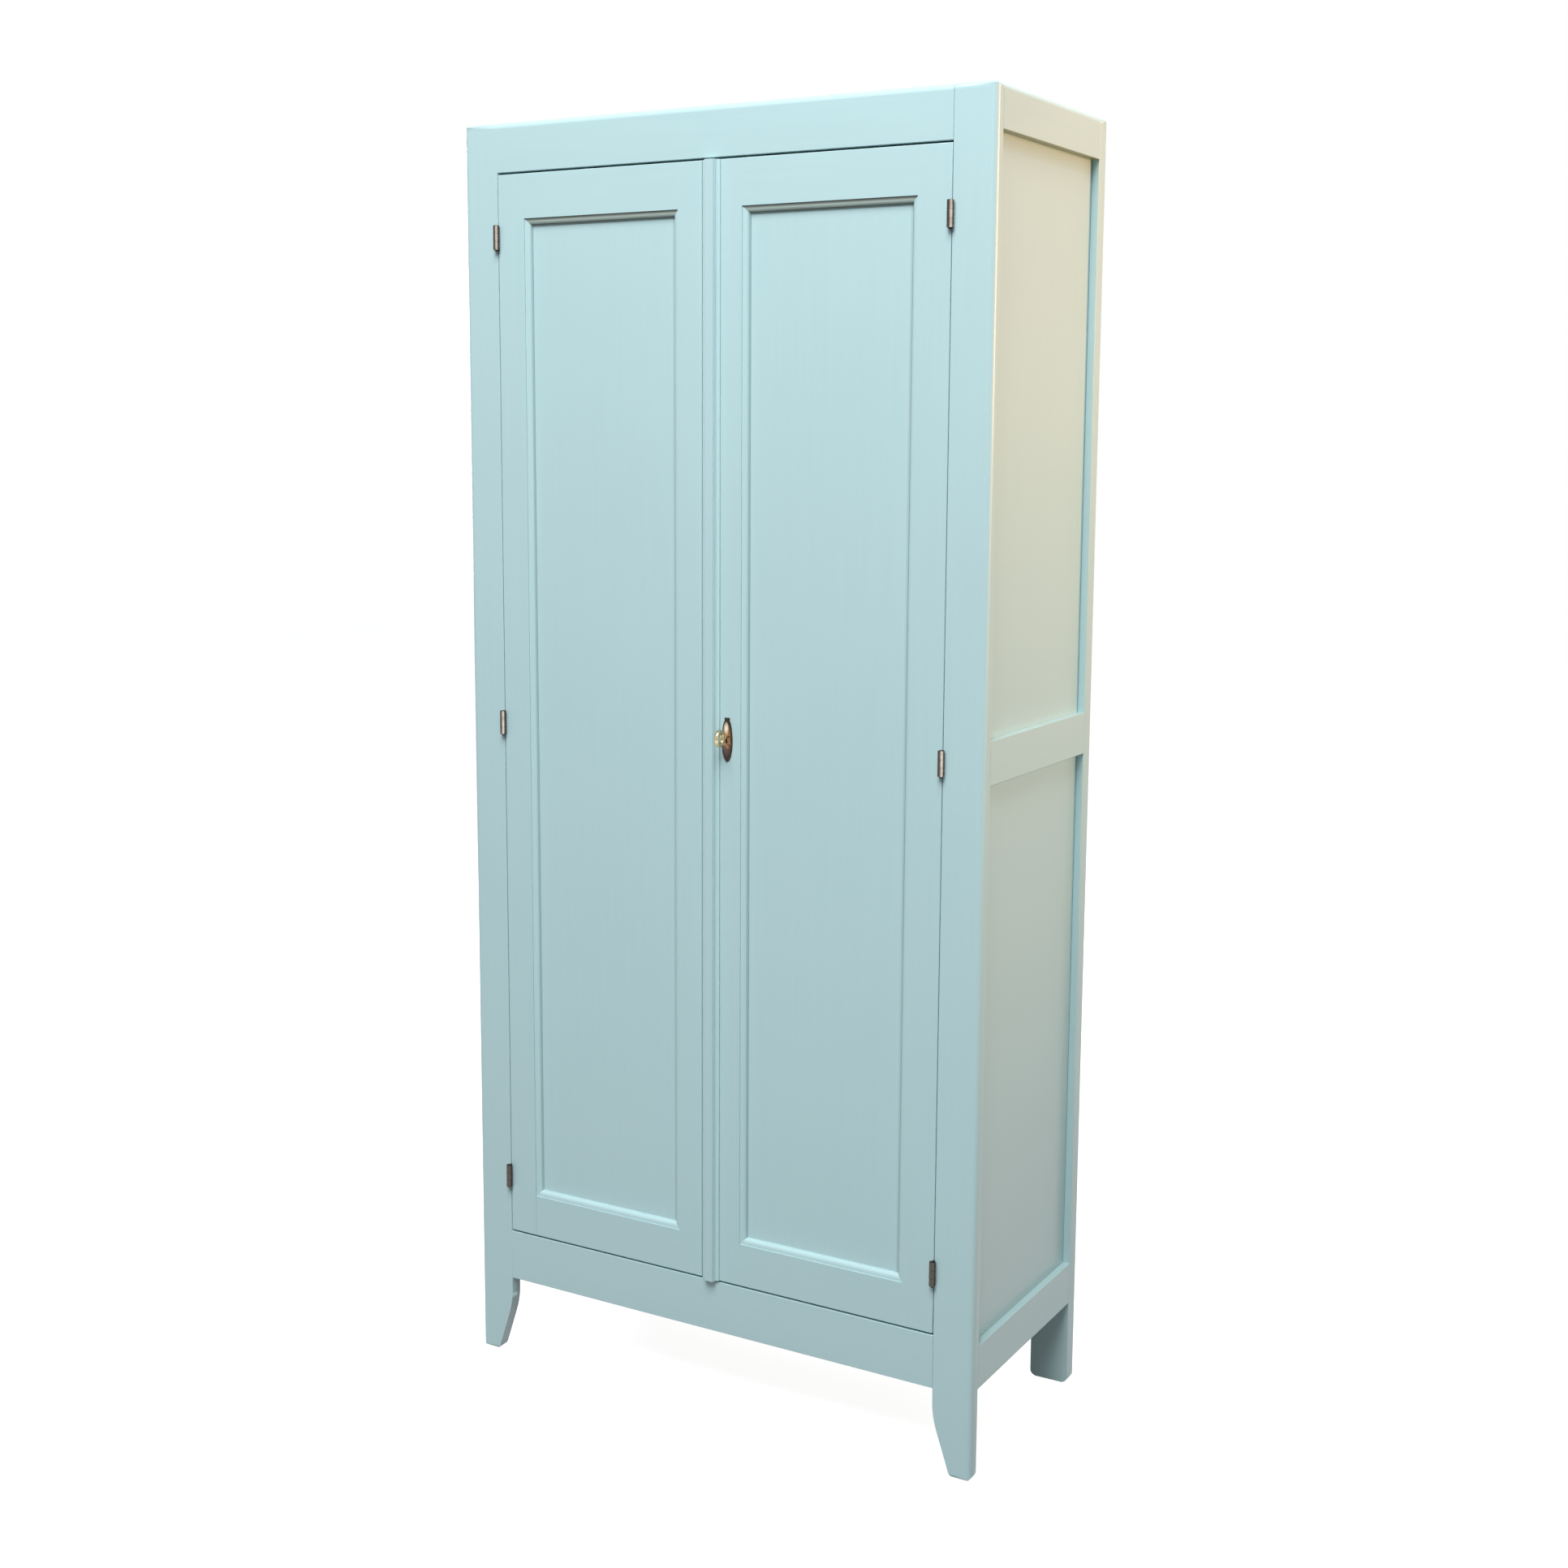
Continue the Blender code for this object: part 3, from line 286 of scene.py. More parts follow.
def bare_wood(name, stretch):
    """Sanded softwood with its grain along the board."""
    fibre_share = 0.45
    material, tree, shader = surface(name)
    grain = add_node(tree, "ShaderNodeGroup", {"Stretch": stretch}, node_tree=wood_grain).outputs
    mixed = math_result(tree, "MULTIPLY_ADD", grain["Fibre"], fibre_share, grain["Figure"])
    colour = between(tree, spread(tree, mixed, 0.0, 1.0 + fibre_share), EARLY_WOOD, LATE_WOOD)
    tree.links.new(colour, shader.inputs["Base Color"])
    tree.links.new(between(tree, grain["Fibre"], 0.58, 0.72), shader.inputs["Roughness"])
    raise_by(tree, shader, grain["Fibre"], distance=0.00015)
    return material


long_grain = bare_wood("long_grain_wood", (0.08, 1.0, 1.0))
deep_grain = bare_wood("deep_grain_wood", (1.0, 0.08, 1.0))
tall_grain = bare_wood("tall_grain_wood", (1.0, 1.0, 0.06))
give_material("back_panel", tall_grain)
give_material("floor_panel", long_grain)
for level in ("lower", "middle", "upper"):
    give_material(f"{level}_shelf", long_grain)
    for side in ("left", "right"):
        give_material(f"{side}_{level}_cleat", deep_grain)

patina, patina_in = new_group("patina", {"Scale": "NodeSocketFloat"}, ("Cloud", "Speck"))
fine_scale = math_result(patina, "MULTIPLY", patina_in.outputs[0], 7.0)
clouds = stretched_noise(patina, ALL_WAYS, patina_in.outputs[0], detail=3)
specks = stretched_noise(patina, ALL_WAYS, fine_scale, detail=2)
patina_out = {"Cloud": spread(patina, clouds, 0.32, 0.68), "Speck": spread(patina, specks, 0.35, 0.65)}
add_node(patina, "NodeGroupOutput", patina_out)


def aged_metal(name, scale, dark, bright, roughness):
    """Metal that has dulled unevenly, with fine pits."""
    material, tree, shader = surface(name)
    age = add_node(tree, "ShaderNodeGroup", {"Scale": scale}, node_tree=patina).outputs
    tree.links.new(between(tree, age["Cloud"], dark, bright), shader.inputs["Base Color"])
    tree.links.new(between(tree, age["Speck"], *roughness), shader.inputs["Roughness"])
    shader.inputs["Metallic"].default_value = 1.0
    raise_by(tree, shader, age["Speck"], distance=0.00003)
    return material


lock_steel = aged_metal(
    "lock_steel", scale=55, dark=(0.120, 0.112, 0.104, 1), bright=(0.190, 0.180, 0.168, 1),
    roughness=(0.34, 0.46))


def whole_shell(vert):
    """Every vertex of the closed shell that a vertex belongs to."""
    seen, waiting = {vert}, [vert]
    while waiting:
        for edge in waiting.pop().link_edges:
            for end in edge.verts:
                if end not in seen:
                    seen.add(end)
                    waiting.append(end)
    return seen


def half_kept(shape, parts, point, normal):
    """Cut parts of a shape by a plane, drop what lies behind it, close the cut and give its vertices."""
    cut = bmesh.ops.bisect_plane(
        shape, geom=parts, plane_co=point, plane_no=normal, clear_inner=True)["geom_cut"]
    bmesh.ops.contextual_create(shape, geom=[item for item in cut if isinstance(item, bmesh.types.BMEdge)])
    return [item for item in cut if isinstance(item, bmesh.types.BMVert)]


def screw_head(radius, proud, slot):
    """A round head with a straight slot, lying on z = 0: a disc with two half moons on it."""
    segments, top_share = 24, 0.88
    shape = bmesh.new()
    bmesh.ops.create_cone(
        shape, cap_ends=True, segments=segments, radius1=radius, radius2=radius, depth=proud,
        matrix=Matrix.Translation((0, 0, -proud)))
    for turn in (0, math.pi):
        moon = bmesh.ops.create_cone(
            shape, cap_ends=True, segments=segments, radius1=radius, radius2=radius * top_share,
            depth=proud)["verts"]
        parts = moon + list({edge for vert in moon for edge in vert.link_edges})
        parts += list({face for vert in moon for face in vert.link_faces})
        cut = half_kept(shape, parts, (slot / 2, 0, 0), (1, 0, 0))
        kept = {vert for corner in cut for vert in whole_shell(corner)}
        bmesh.ops.rotate(shape, verts=list(kept), cent=(0, 0, 0), matrix=Matrix.Rotation(turn, 3, "Z"))
    shade_rounds(shape, crease=40)
    return shape


def repeated(shape, places):
    """Copies of a small shape, each set on a point with its top towards a direction and turned about it."""
    pattern = bpy.data.meshes.new("pattern")
    shape.to_mesh(pattern)
    shape.free()
    row = bmesh.new()
    for point, outward, turn in places:
        facing = Vector(outward).to_track_quat("Z", "Y").to_matrix().to_4x4()
        setting = Matrix.Translation(point) @ (facing @ Matrix.Rotation(turn, 4, "Z"))
        pattern.transform(setting)
        row.from_mesh(pattern)
        pattern.transform(setting.inverted())
    bpy.data.meshes.remove(pattern)
    return row


cleat_screws = []
for level in ("lower", "middle", "upper"):
    for side, inward in (("left", RIGHT), ("right", LEFT)):
        low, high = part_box(f"{side}_{level}_cleat")
        inner_x = high.x if inward > 0 else low.x
        for share in (0.12, 0.5, 0.88):
            point = (inner_x, low.y + share * (high.y - low.y), (low.z + high.z) / 2)
            slot_turn = 1.9 * share + low.z
            cleat_screws.append((point, (inward, 0, 0), slot_turn))
screws = repeated(screw_head(radius=0.0038, proud=0.0005, slot=0.0010), cleat_screws)
new_piece("cleat_screws", screws, "carcass", lock_steel)


# Door frames: stiles and rails joined by tenons, with a moulding worked on their inner edge and
# mitred at the corners, painted like the carcass. Coats of paint have softened the moulding, painted shade
# darkens it, most of all along the right-hand edges of the panels and under the top rails, and the joint at
# the left door's lower left corner has opened a little.

MOULDING_WIDTH, MOULDING_FLAT_DEPTH, ROUNDED_OVER = 0.0098, 0.0066, 0.0013


def soften_moulding(piece, along, across, inner, face_y, rounded_over=ROUNDED_OVER):
    """Draw the mitres of a moulding together and round over the flat along its inner edge."""
    mitre_fill, same_place = 0.0005, 0.0001
    ends = [vert.co[along] for vert in piece.data.vertices]
    middle = (min(ends) + max(ends)) / 2
    for vert in piece.data.vertices:
        reach = abs(vert.co[across] - inner)
        if reach < MOULDING_WIDTH - same_place:
            vert.co[along] += math.copysign(mitre_fill, vert.co[along] - middle)
        if reach < same_place and abs(vert.co.y - face_y - MOULDING_FLAT_DEPTH) < same_place:
            vert.co.y += rounded_over


def shade_moulding(material, axis, inner, face_y, depths, shade_colour):
    """Paint shade onto a moulding, in a layer that begins and ends over these depths behind the door's face.
    """
    past_moulding = 0.002
    layers = [(face_y + clear, face_y + covered) for clear, covered in depths]
    fade = (MOULDING_WIDTH + past_moulding, MOULDING_WIDTH)
    add_painted_shade(material, axis, inner, fade, layers, shade_colour)


MOULDED_CREASE = 40
FOOT_DEPTH, PANEL_DEPTH = (0.0050, 0.0072), (0.0120, 0.0110)
# Painted shade in the mouldings: darker on the stiles at the right edges of the panels, and dark lines under
# the top rails' mouldings, as if cast by light from above.
STILE_SHADE = {RIGHT: (0.330, 0.455, 0.460, 1), LEFT: (0.215, 0.310, 0.318, 1)}
TOP_RAIL_SHADE = (
    ((0.0005, 0.0018), PANEL_DEPTH, (0.57, 0.66, 0.60, 1)),
    ((0.0050, 0.0064), PANEL_DEPTH, (0.16, 0.19, 0.16, 1)),
    ((0.0004, 0.0008), (0.0023, 0.0019), (0.20, 0.235, 0.20, 1)),
)
for door, outward, open_end in (("left", LEFT, LEFT), ("right", RIGHT, None)):
    for stile, inward in (("hinge_stile", -outward), ("meeting_stile", outward)):
        low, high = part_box(f"{door}_door_{stile}")
        inner_x = high.x if inward > 0 else low.x
        paint = brushed_paint(f"{door}_{stile}_paint", UPRIGHT)
        shade_moulding(paint, "X", inner_x, low.y, (FOOT_DEPTH, PANEL_DEPTH), STILE_SHADE[inward])
        piece = finished(f"{door}_door_{stile}", f"{door}_door", paint, MOULDED_CREASE)
        soften_moulding(piece, Z, X, inner_x, low.y)
    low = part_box(f"{door}_door_top_rail")[0]
    paint = brushed_paint(f"{door}_top_rail_paint", LEVEL)
    for near, far, shade_colour in TOP_RAIL_SHADE:
        shade_moulding(paint, "Z", low.z, low.y, (near, far), shade_colour)
    piece = finished(
        f"{door}_door_top_rail", f"{door}_door", paint, MOULDED_CREASE, (X, Y, FRONT))
    soften_moulding(piece, X, Z, low.z, low.y, rounded_over=0.0)
    low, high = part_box(f"{door}_door_bottom_rail")
    piece = finished(
        f"{door}_door_bottom_rail", f"{door}_door", level_paint, MOULDED_CREASE,
        (X, Y, FRONT, open_end))
    soften_moulding(piece, X, Z, high.z, low.y)


# Door panels: thin flat boards in the grooves of the door frames, painted on both faces. The paint closes
# the hairline between the panel's face and the moulding, and a painted shadow lies along the right edge.

# Painted shadow along the right edge of each panel, next to the moulding.
PANEL_EDGE_SHADOW, PANEL_EDGE_SHADOW_FADE = (0.300, 0.420, 0.425, 1), (0.0050, -0.0010)
for door, right_stile in (("left", "meeting_stile"), ("right", "hinge_stile")):
    edge_x, face_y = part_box(f"{door}_door_{right_stile}")[0].x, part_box(f"{door}_door_panel")[0].y
    paint = brushed_paint(f"{door}_panel_paint", UPRIGHT)
    face_layer = (face_y + 0.003, face_y + 0.001)
    add_painted_shade(paint, "X", edge_x, PANEL_EDGE_SHADOW_FADE, (face_layer,), PANEL_EDGE_SHADOW)
    panel = finished(f"{door}_door_panel", f"{door}_door", paint, MOULDED_CREASE)
    paint_fill = 0.00028
    for vert in panel.data.vertices:
        if vert.co.y < face_y + paint_fill:
            vert.co.y -= paint_fill


# Meeting strip: a moulded strip of wood, planted on the meeting edge of the right door and painted like it.
# It covers the gap between the doors.

finished("meeting_strip", "right_door", upright_paint, MOULDED_CREASE)


# Hinges: loose steel butts let into the edges of the doors and posts, so that only the barrels show, gone
# dark, with a painted highlight down their outer side and darker on the lowest barrels. The pin has a low
# head above and a narrow round tip below, and two screws hold each leaf.

def colour_ramp(tree, factor, stops):
    """Colours at places from 0 to 1, blended between."""
    ramp = add_node(tree, "ShaderNodeValToRGB", {"Fac": factor})
    points = ramp.color_ramp.elements
    while len(points) < len(stops):
        points.new(1.0)
    for point, (place, colour) in zip(points, stops):
        point.position, point.color = place, (*colour, 1)
    return ramp.outputs["Color"]


def highlighted_steel(name, axis_x):
    """Steel gone dark, with a painted highlight along the outer side of the barrels, and darker on the lowest
    ones.
    """
    barrel_y, barrel_radius, highlight_side = -0.1949, 0.0046, (0.643, -0.766, 0)
    darkest_below, undarkened_above = 0.4, 0.9
    material, tree, shader = surface(name)
    age = add_node(tree, "ShaderNodeGroup", {"Scale": 90.0}, node_tree=patina).outputs
    place = own_place(tree)
    away = vector_result(tree, "SUBTRACT", place, (axis_x, barrel_y, 0))["Vector"]
    out = vector_result(tree, "DOT_PRODUCT", away, highlight_side)["Value"]
    barrel_highlight = math_result(
        tree, "MULTIPLY_ADD", age["Cloud"], 0.03, spread(tree, out, -barrel_radius, barrel_radius))
    height = add_node(tree, "ShaderNodeSeparateXYZ", {0: place}).outputs["Z"]
    low_darkening = between(tree, spread(tree, height, darkest_below, undarkened_above), -0.150, -0.015)
    # The light end of the ramp is a painted highlight down the outer side of each barrel.
    colour = colour_ramp(tree, math_result(tree, "ADD", barrel_highlight, low_darkening), (
        (0.00, (0.170, 0.155, 0.140)), (0.40, (0.060, 0.052, 0.047)), (0.86, (0.080, 0.068, 0.058)),
        (0.93, (0.170, 0.135, 0.112)), (0.97, (0.400, 0.335, 0.285)), (1.00, (0.640, 0.570, 0.500))))
    tree.links.new(colour, shader.inputs["Base Color"])
    tree.links.new(between(tree, age["Speck"], 0.22, 0.34), shader.inputs["Roughness"])
    shader.inputs["Metallic"].default_value = 1.0
    raise_by(tree, shader, age["Cloud"], distance=0.00003)
    return material


dark_steel = aged_metal(
    "dark_steel", scale=160, dark=(0.020, 0.018, 0.017, 1), bright=(0.060, 0.054, 0.050, 1),
    roughness=(0.34, 0.48))


def dome(radius, height):
    """A low round-topped boss standing on z = 0."""
    shape = bmesh.new()
    bmesh.ops.create_uvsphere(shape, u_segments=20, v_segments=10, radius=radius)
    half_kept(shape, list(shape.verts) + list(shape.edges) + list(shape.faces), (0, 0, 0), (0, 0, 1))
    bmesh.ops.scale(shape, vec=(1, 1, height / radius), verts=shape.verts)
    shade_rounds(shape, crease=60)
    return shape


barrel_x, half_gap, screw_y = 0.3685, 0.0005, -0.1815
pin_heads, pin_tips = [], []
leaf_screws = {"carcass": [], "left_door": [], "right_door": []}
for side, inward in (("left", RIGHT), ("right", LEFT)):
    hinge_steel = highlighted_steel(f"{side}_hinge_steel", -barrel_x * inward)
    for level in ("top", "middle", "bottom"):
        low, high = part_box(f"{side}_{level}_hinge_post_leaf")
        axis = Vector(((low.x + high.x) / 2, low.y + (high.x - low.x) / 2, 0))
        pin_heads.append((axis + Vector((0, 0, high.z)), (0, 0, 1), 0))
        pin_tips.append((axis + Vector((0, 0, low.z)), (0, 0, -1), 0))
        for share in (0.22, 0.78):
            z = low.z + share * (high.z - low.z)
            post_face = (axis.x - inward * half_gap, screw_y, z)
            door_face = (axis.x + inward * half_gap, screw_y, z)
            leaf_screws["carcass"].append((post_face, (inward, 0, 0), 5 * z))
            leaf_screws[f"{side}_door"].append((door_face, (-inward, 0, 0), 7 * z))
        finished(f"{side}_{level}_hinge_post_leaf", "carcass", hinge_steel, BOARD_CREASE)
        finished(f"{side}_{level}_hinge_door_leaf", f"{side}_door", hinge_steel, BOARD_CREASE)
heads = repeated(dome(radius=0.0034, height=0.0008), pin_heads)
new_piece("hinge_pin_heads", heads, "carcass", dark_steel)
tips = repeated(dome(radius=0.0027, height=0.0030), pin_tips)
new_piece("hinge_pin_tips", tips, "carcass", dark_steel)
for body, places in leaf_screws.items():
    screws = repeated(screw_head(radius=0.0030, proud=0.0001, slot=0.0008), places)
    new_piece(f"{body}_leaf_screws", screws, body, lock_steel)


# Escutcheon: a cast brass plate with a bevelled edge and a square finial, pinned over the keyhole. It is
# copper-brown in the middle and darker towards its ends, with dark blotches of tarnish, a painted shade along
# its edge and a painted highlight in one place.

def distance_from(tree, centre, reach):
    """How far a point lies from a centre, counted in a reach along each axis."""
    away = vector_result(tree, "SUBTRACT", own_place(tree), centre)["Vector"]
    drawn = vector_result(tree, "MULTIPLY", away, tuple(1 / part for part in reach))["Vector"]
    return vector_result(tree, "LENGTH", drawn)["Value"]


old_brass, tree, shader = surface("old_brass")
age = add_node(tree, "ShaderNodeGroup", {"Scale": 220.0}, node_tree=patina).outputs
plate_low, plate_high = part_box("escutcheon")
plate_x, plate_z = (plate_low.x + plate_high.x) / 2, (plate_low.z + plate_high.z) / 2
mottling = 0.008
height = add_node(tree, "ShaderNodeSeparateXYZ", {0: own_place(tree)}).outputs["Z"]
mottled = math_result(tree, "MULTIPLY_ADD", age["Cloud"], mottling, height)
rise = spread(tree, mottled, plate_low.z + mottling / 2, plate_high.z + mottling / 2)
# Colour by height: copper-brown in the middle, darker towards both ends.
height_tones = colour_ramp(tree, rise, (
    (0.00, (0.060, 0.046, 0.046)), (0.30, (0.120, 0.080, 0.066)), (0.46, (0.420, 0.235, 0.115)),
    (0.62, (0.440, 0.245, 0.125)), (0.76, (0.300, 0.205, 0.130)), (0.92, (0.060, 0.066, 0.056))))
plate_half = (plate_high.x - plate_x, 1, plate_high.z - plate_z)
# Painted shade along the plate's edge, mixed with dark blotches of tarnish.
rim_shade = spread(tree, distance_from(tree, (plate_x, 0, plate_z), plate_half), 0.60, 0.92)
blotches = add_node(tree, "ShaderNodeGroup", {"Scale": 330.0}, node_tree=patina).outputs["Cloud"]
rim_shade_and_tarnish = math_result(tree, "MAXIMUM", rim_shade, spread(tree, blotches, 0.42, 0.95))
shaded_tarnished_colour = between(tree, rim_shade_and_tarnish, height_tones, (0.046, 0.034, 0.028, 1))
# A painted highlight on the upper half of the plate.
highlight_place, highlight_reach = (plate_x - 0.0004, 0, plate_z + 0.0165), (0.0046, 1, 0.0105)
plate_highlight = spread(tree, distance_from(tree, highlight_place, highlight_reach), 1.0, 0.25)
tree.links.new(between(tree, plate_highlight, shaded_tarnished_colour, (0.86, 0.74, 0.56, 1)), shader.inputs["Base Color"])
tree.links.new(between(tree, age["Speck"], 0.24, 0.42), shader.inputs["Roughness"])
shader.inputs["Metallic"].default_value = 1.0
raise_by(tree, shader, age["Cloud"], distance=0.00025)
finished("escutcheon", "right_door", old_brass, crease=30)
pin_levels = (plate_low.z + 0.0075, plate_high.z - 0.0085)
pins = [((plate_x, plate_low.y, z), (0, -1, 0), 0) for z in pin_levels]
pin_domes = repeated(dome(radius=0.0012, height=0.0007), pins)
new_piece("escutcheon_pins", pin_domes, "right_door", old_brass)


# Key: cast and turned brass, kept bright by use, in the lock of the right door.
# It has a thick oval bow, a turned collar, a round shank and a bit, all in one piece.

bright_brass = aged_metal(
    "bright_brass", scale=180, dark=(0.300, 0.245, 0.125, 1), bright=(0.640, 0.560, 0.350, 1),
    roughness=(0.16, 0.30))
key_low, key_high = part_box("key")
key_x, key_z = (key_low.x + key_high.x) / 2, (key_low.z + key_high.z) / 2
bow_length, bow_height, bow_thickness, bow_breadth = 0.0225, key_high.z - key_low.z, 0.0070, 0.0074
full_turn = math.radians(360)
shape = bmesh.new()
ring = (bow_height - bow_thickness) / 2
across = Matrix.Translation((0, 0, ring)) @ Matrix.Rotation(math.radians(90), 4, "X")
circle = bmesh.ops.create_circle(shape, segments=20, radius=bow_thickness / 2, matrix=across)["verts"]
rim = list({edge for vert in circle for edge in vert.link_edges})
bmesh.ops.spin(
    shape, geom=circle + rim, cent=(0, 0, 0), axis=(1, 0, 0), angle=full_turn, steps=64, use_merge=True)
stretch = (bow_length - bow_thickness) / (bow_height - bow_thickness)
flatten = Matrix.Diagonal((bow_breadth / bow_thickness, stretch, 1, 1))
bow_place = Matrix.Translation((key_x, key_low.y + bow_length / 2, key_z))
bmesh.ops.transform(shape, matrix=bow_place @ flatten, verts=shape.verts)
bow_verts = set(shape.verts)
bow_end = key_low.y + bow_length - bow_thickness / 2
collar = (
    (-0.0006, 0.0), (-0.0006, 0.0026), (0.0006, 0.0034), (0.0014, 0.0036), (0.0022, 0.0034), (0.0027, 0.0029),
    (0.0032, 0.0028), (0.0037, 0.0032), (0.0044, 0.0034), (0.0050, 0.0031), (0.0054, 0.0026))
tip = ((-0.0006, 0.0026), (0.0, 0.0020), (0.0, 0.0))
turned = [(bow_end + along, radius) for along, radius in collar]
turned += [(key_high.y + along, radius) for along, radius in tip]
line = [shape.verts.new((key_x + radius, y, key_z)) for y, radius in turned]
edges = [shape.edges.new(pair) for pair in zip(line, line[1:])]
bmesh.ops.spin(
    shape, geom=line + edges, cent=(key_x, 0, key_z), axis=(0, 1, 0), angle=full_turn, steps=32,
    use_merge=True)
turned_verts = [vert for vert in shape.verts if vert not in bow_verts]
bmesh.ops.remove_doubles(shape, verts=turned_verts, dist=SAME_POINT)
bit_width, bit_length, bit_drop, bit_setback = 0.0022, 0.006, 0.009, 0.0056
bit_place = Matrix.Translation((key_x, key_high.y - bit_setback, key_z - bit_drop / 2))
bit = bmesh.ops.create_cube(
    shape, size=1, matrix=bit_place @ Matrix.Diagonal((bit_width, bit_length, bit_drop, 1)))
bit_edges = list({edge for vert in bit["verts"] for edge in vert.link_edges})
bmesh.ops.bevel(
    shape, geom=bit_edges, offset=0.0002, offset_type="OFFSET", segments=2, profile=0.5, affect="EDGES",
    material=-1)
bmesh.ops.recalc_face_normals(shape, faces=shape.faces)
shade_rounds(shape, crease=45)
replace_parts(new_piece("key_finished", shape, "key", bright_brass), "key")


# Lock: a steel case on the back of the right door with a sliding bolt, and its keeper on the left door.
# The case is riveted together and all of it is screwed on from behind.

def in_from_corners(low, high, margin_x, margin_z):
    """Four places on a plate, in from its corners by these margins."""
    levels = (low.z + margin_z, high.z - margin_z)
    return [(x, z) for x in (low.x + margin_x, high.x - margin_x) for z in levels]


for name in ("lock_case", "lock_bolt", "lock_keeper"):
    give_material(name, lock_steel)
case_low, case_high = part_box("lock_case")
case_screws, case_rivets = [], []
for x, z in in_from_corners(case_low, case_high, margin_x=0.006, margin_z=0.006):
    case_screws.append(((x, case_high.y, z), (0, 1, 0), 90 * x + 30 * z))
for share_x, share_z in ((0.30, 0.22), (0.74, 0.30), (0.62, 0.80)):
    x = case_low.x + share_x * (case_high.x - case_low.x)
    z = case_low.z + share_z * (case_high.z - case_low.z)
    case_rivets.append(((x, case_high.y, z), (0, 1, 0), 0))
screws = repeated(screw_head(radius=0.0028, proud=0.0005, slot=0.0008), case_screws)
new_piece("lock_case_screws", screws, "right_door", lock_steel)
rivets = repeated(dome(radius=0.0021, height=0.0009), case_rivets)
new_piece("lock_case_rivets", rivets, "right_door", lock_steel)


# Slide bolt: a flat steel bolt with a round knob in a pressed guide, on the back of the left door,
# which holds that door behind the top rail while the right one is opened.

give_material("left_door_bolt_guide", lock_steel)
finished("left_door_bolt", "left_bolt", lock_steel, BOARD_CREASE)
keeper_low, keeper_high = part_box("lock_keeper")
guide_low, guide_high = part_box("left_door_bolt_guide")
keeper_margin, keeper_plate, guide_plate = 0.0035, 0.0018, 0.0016
keeper_x = (keeper_low.x + keeper_high.x) / 2
plate_screws = []
for z in (keeper_low.z + keeper_margin, keeper_high.z - keeper_margin):
    plate_screws.append(((keeper_x, keeper_low.y + keeper_plate, z), (0, 1, 0), 40 * z))
for x, z in in_from_corners(guide_low, guide_high, margin_x=0.0026, margin_z=0.006):
    plate_screws.append(((x, guide_low.y + guide_plate, z), (0, 1, 0), 60 * x + 35 * z))
screws = repeated(screw_head(radius=0.0020, proud=0.0004, slot=0.0006), plate_screws)
new_piece("left_door_fitting_screws", screws, "left_door", lock_steel)


# Floor: a wide white studio floor that keeps a soft shadow under the cupboard.
# It glows where it is seen, so that it meets the white of the room without a line.

def seen_directly(tree):
    """1 where the camera, a reflection or a clear piece shows the surface, 0 for light that bounces."""
    path = add_node(tree, "ShaderNodeLightPath").outputs
    total = path["Is Camera Ray"]
    for ray in ("Is Glossy Ray", "Is Transmission Ray"):
        total = math_result(tree, "MAXIMUM", total, path[ray])
    return total


FLOOR_UNSEEN, FLOOR_SEEN, FLOOR_GLOW = (0.15, 0.15, 0.15, 1), (0.50, 0.50, 0.50, 1), 0.895
WHITE = (1, 1, 1, 1)
shape = bmesh.new()
half_width = 9
bmesh.ops.create_grid(shape, x_segments=1, y_segments=1, size=half_width)
mesh = bpy.data.meshes.new("studio_floor")
shape.to_mesh(mesh)
shape.free()
floor = bpy.data.objects.new("studio_floor", mesh)
bpy.context.scene.collection.objects.link(floor)
material, tree, shader = surface("floor_white")
seen = seen_directly(tree)
tree.links.new(between(tree, seen, FLOOR_UNSEEN, FLOOR_SEEN), shader.inputs["Base Color"])
shader.inputs["Roughness"].default_value = 0.9
shader.inputs["Specular IOR Level"].default_value = 0.0
shader.inputs["Emission Color"].default_value = WHITE
tree.links.new(between(tree, seen, 0.0, FLOOR_GLOW), shader.inputs["Emission Strength"])
floor.data.materials.append(material)


# Studio light: a large soft box high in front, a white one behind at the left, and two at the right, far
# enough back to light only the side of the cupboard: a warm one for its top and a weak one lower down.
# The room is white where it is seen and gives a faint blue-green light.

def soft_box(name, place, aim, size, watts, colour, cone=180):
    """A square lamp at a place, turned towards a point."""
    lamp = bpy.data.lights.new(name, "AREA")
    lamp.shape, lamp.size, lamp.energy, lamp.color = "SQUARE", size, watts, colour
    lamp.spread = math.radians(cone)
    holder = bpy.data.objects.new(name, lamp)
    turn = (Vector(aim) - Vector(place)).to_track_quat("-Z", "Y").to_matrix().to_4x4()
    holder.matrix_world = Matrix.Translation(place) @ turn
    bpy.context.scene.collection.objects.link(holder)


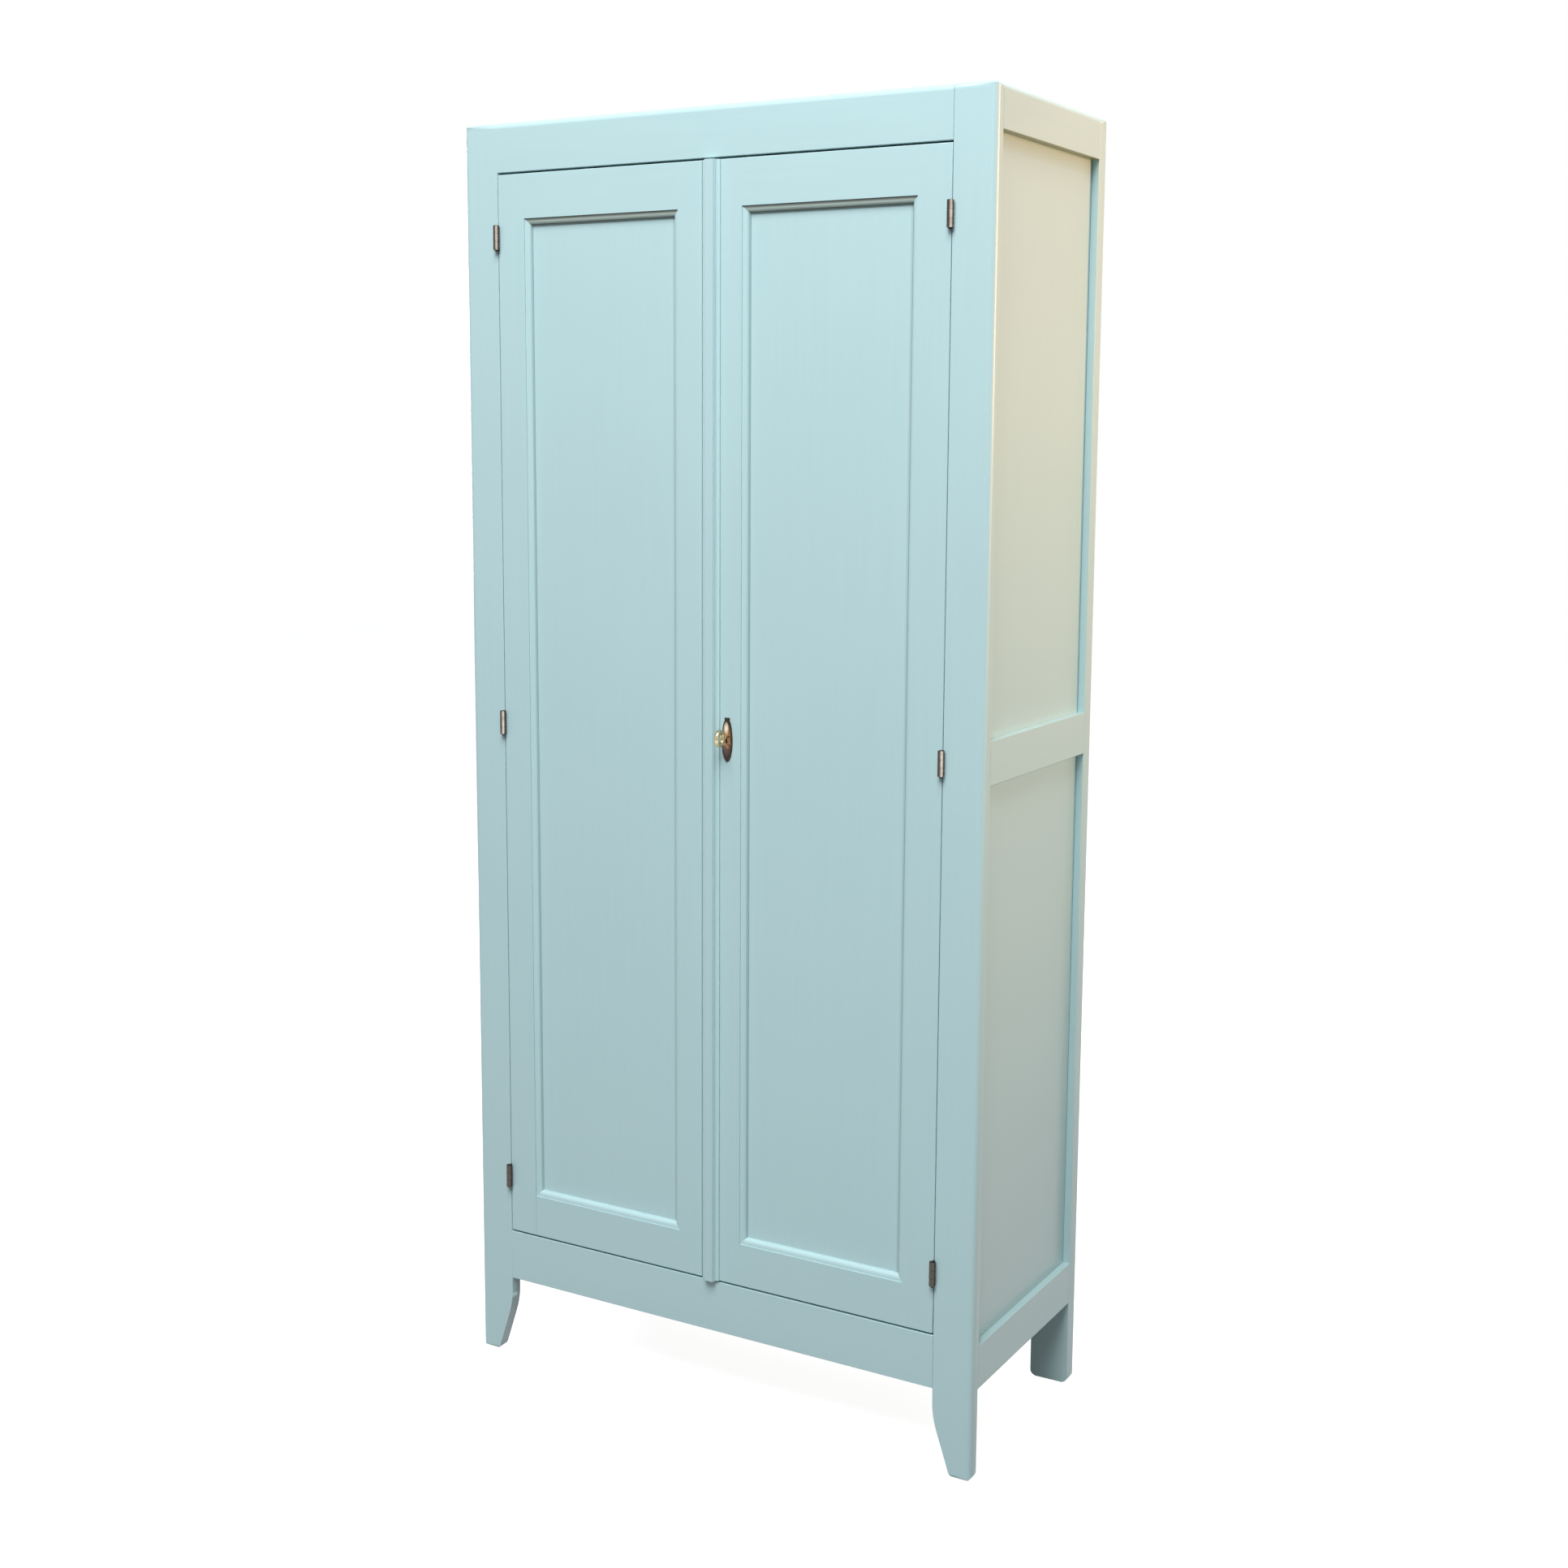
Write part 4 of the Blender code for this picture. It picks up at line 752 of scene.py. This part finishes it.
soft_box(
    "high_soft_box", (0.8, -3.2, 5.3), aim=(0.0, -0.2, 1.0), size=3.0, watts=362, colour=(0.97, 0.985, 1.0))
soft_box(
    "rear_soft_box", (-3.0, 2.4, 1.9), aim=(-0.2, 0.1, 1.0), size=2.0, watts=120, colour=(1.0, 1.0, 1.0))
soft_box(
    "warm_top_box", (2.5, 1.25, 1.95), aim=(0.43, 0.0, 1.85), size=1.0, watts=10.6, colour=(1.0, 0.58, 0.325),
    cone=70)
soft_box(
    "side_box", (2.8, 0.6, 1.1), aim=(0.43, 0.0, 0.95), size=0.8, watts=0.85, colour=(1.0, 0.96, 0.72),
    cone=50)

ROOM_LIGHT, ROOM_STRENGTH = (0.84, 1.0, 1.08, 1), 0.20
world = bpy.data.worlds.new("studio")
world.use_nodes = True
bpy.context.scene.world = world
tree = world.node_tree
room = tree.nodes["Background"]
seen = seen_directly(tree)
tree.links.new(between(tree, seen, ROOM_LIGHT, WHITE), room.inputs["Color"])
tree.links.new(between(tree, seen, ROOM_STRENGTH, 1.0), room.inputs["Strength"])


# Camera: the photograph's own stand, a little right of the front and just above half the cupboard's height.
# Its place, turn and focal length were fitted to the edges of the cupboard. The picture's width, the focal
# length and the shift are in pixels.

azimuth, elevation, roll = math.radians(30.032), math.radians(8.220), math.radians(0.335)
picture_width, focal_length, lowered = 1932, 2504.4, 70
forward = Vector((
    -math.sin(azimuth) * math.cos(elevation), math.cos(azimuth) * math.cos(elevation), -math.sin(elevation)))
right = forward.cross(Vector((0, 0, 1))).normalized()
turned_view = Matrix((right, right.cross(forward), -forward)).transposed() @ Matrix.Rotation(roll, 3, "Z")
camera = bpy.data.objects.new("camera", bpy.data.cameras.new("camera"))
camera.matrix_world = Matrix.Translation((1.5332, -2.6308, 1.4535)) @ turned_view.to_4x4()
camera.data.sensor_width = 36
camera.data.lens = focal_length / picture_width * camera.data.sensor_width
camera.data.shift_y = -lowered / picture_width
bpy.context.scene.collection.objects.link(camera)
bpy.context.scene.camera = camera
bpy.context.scene.view_settings.view_transform = "Standard"
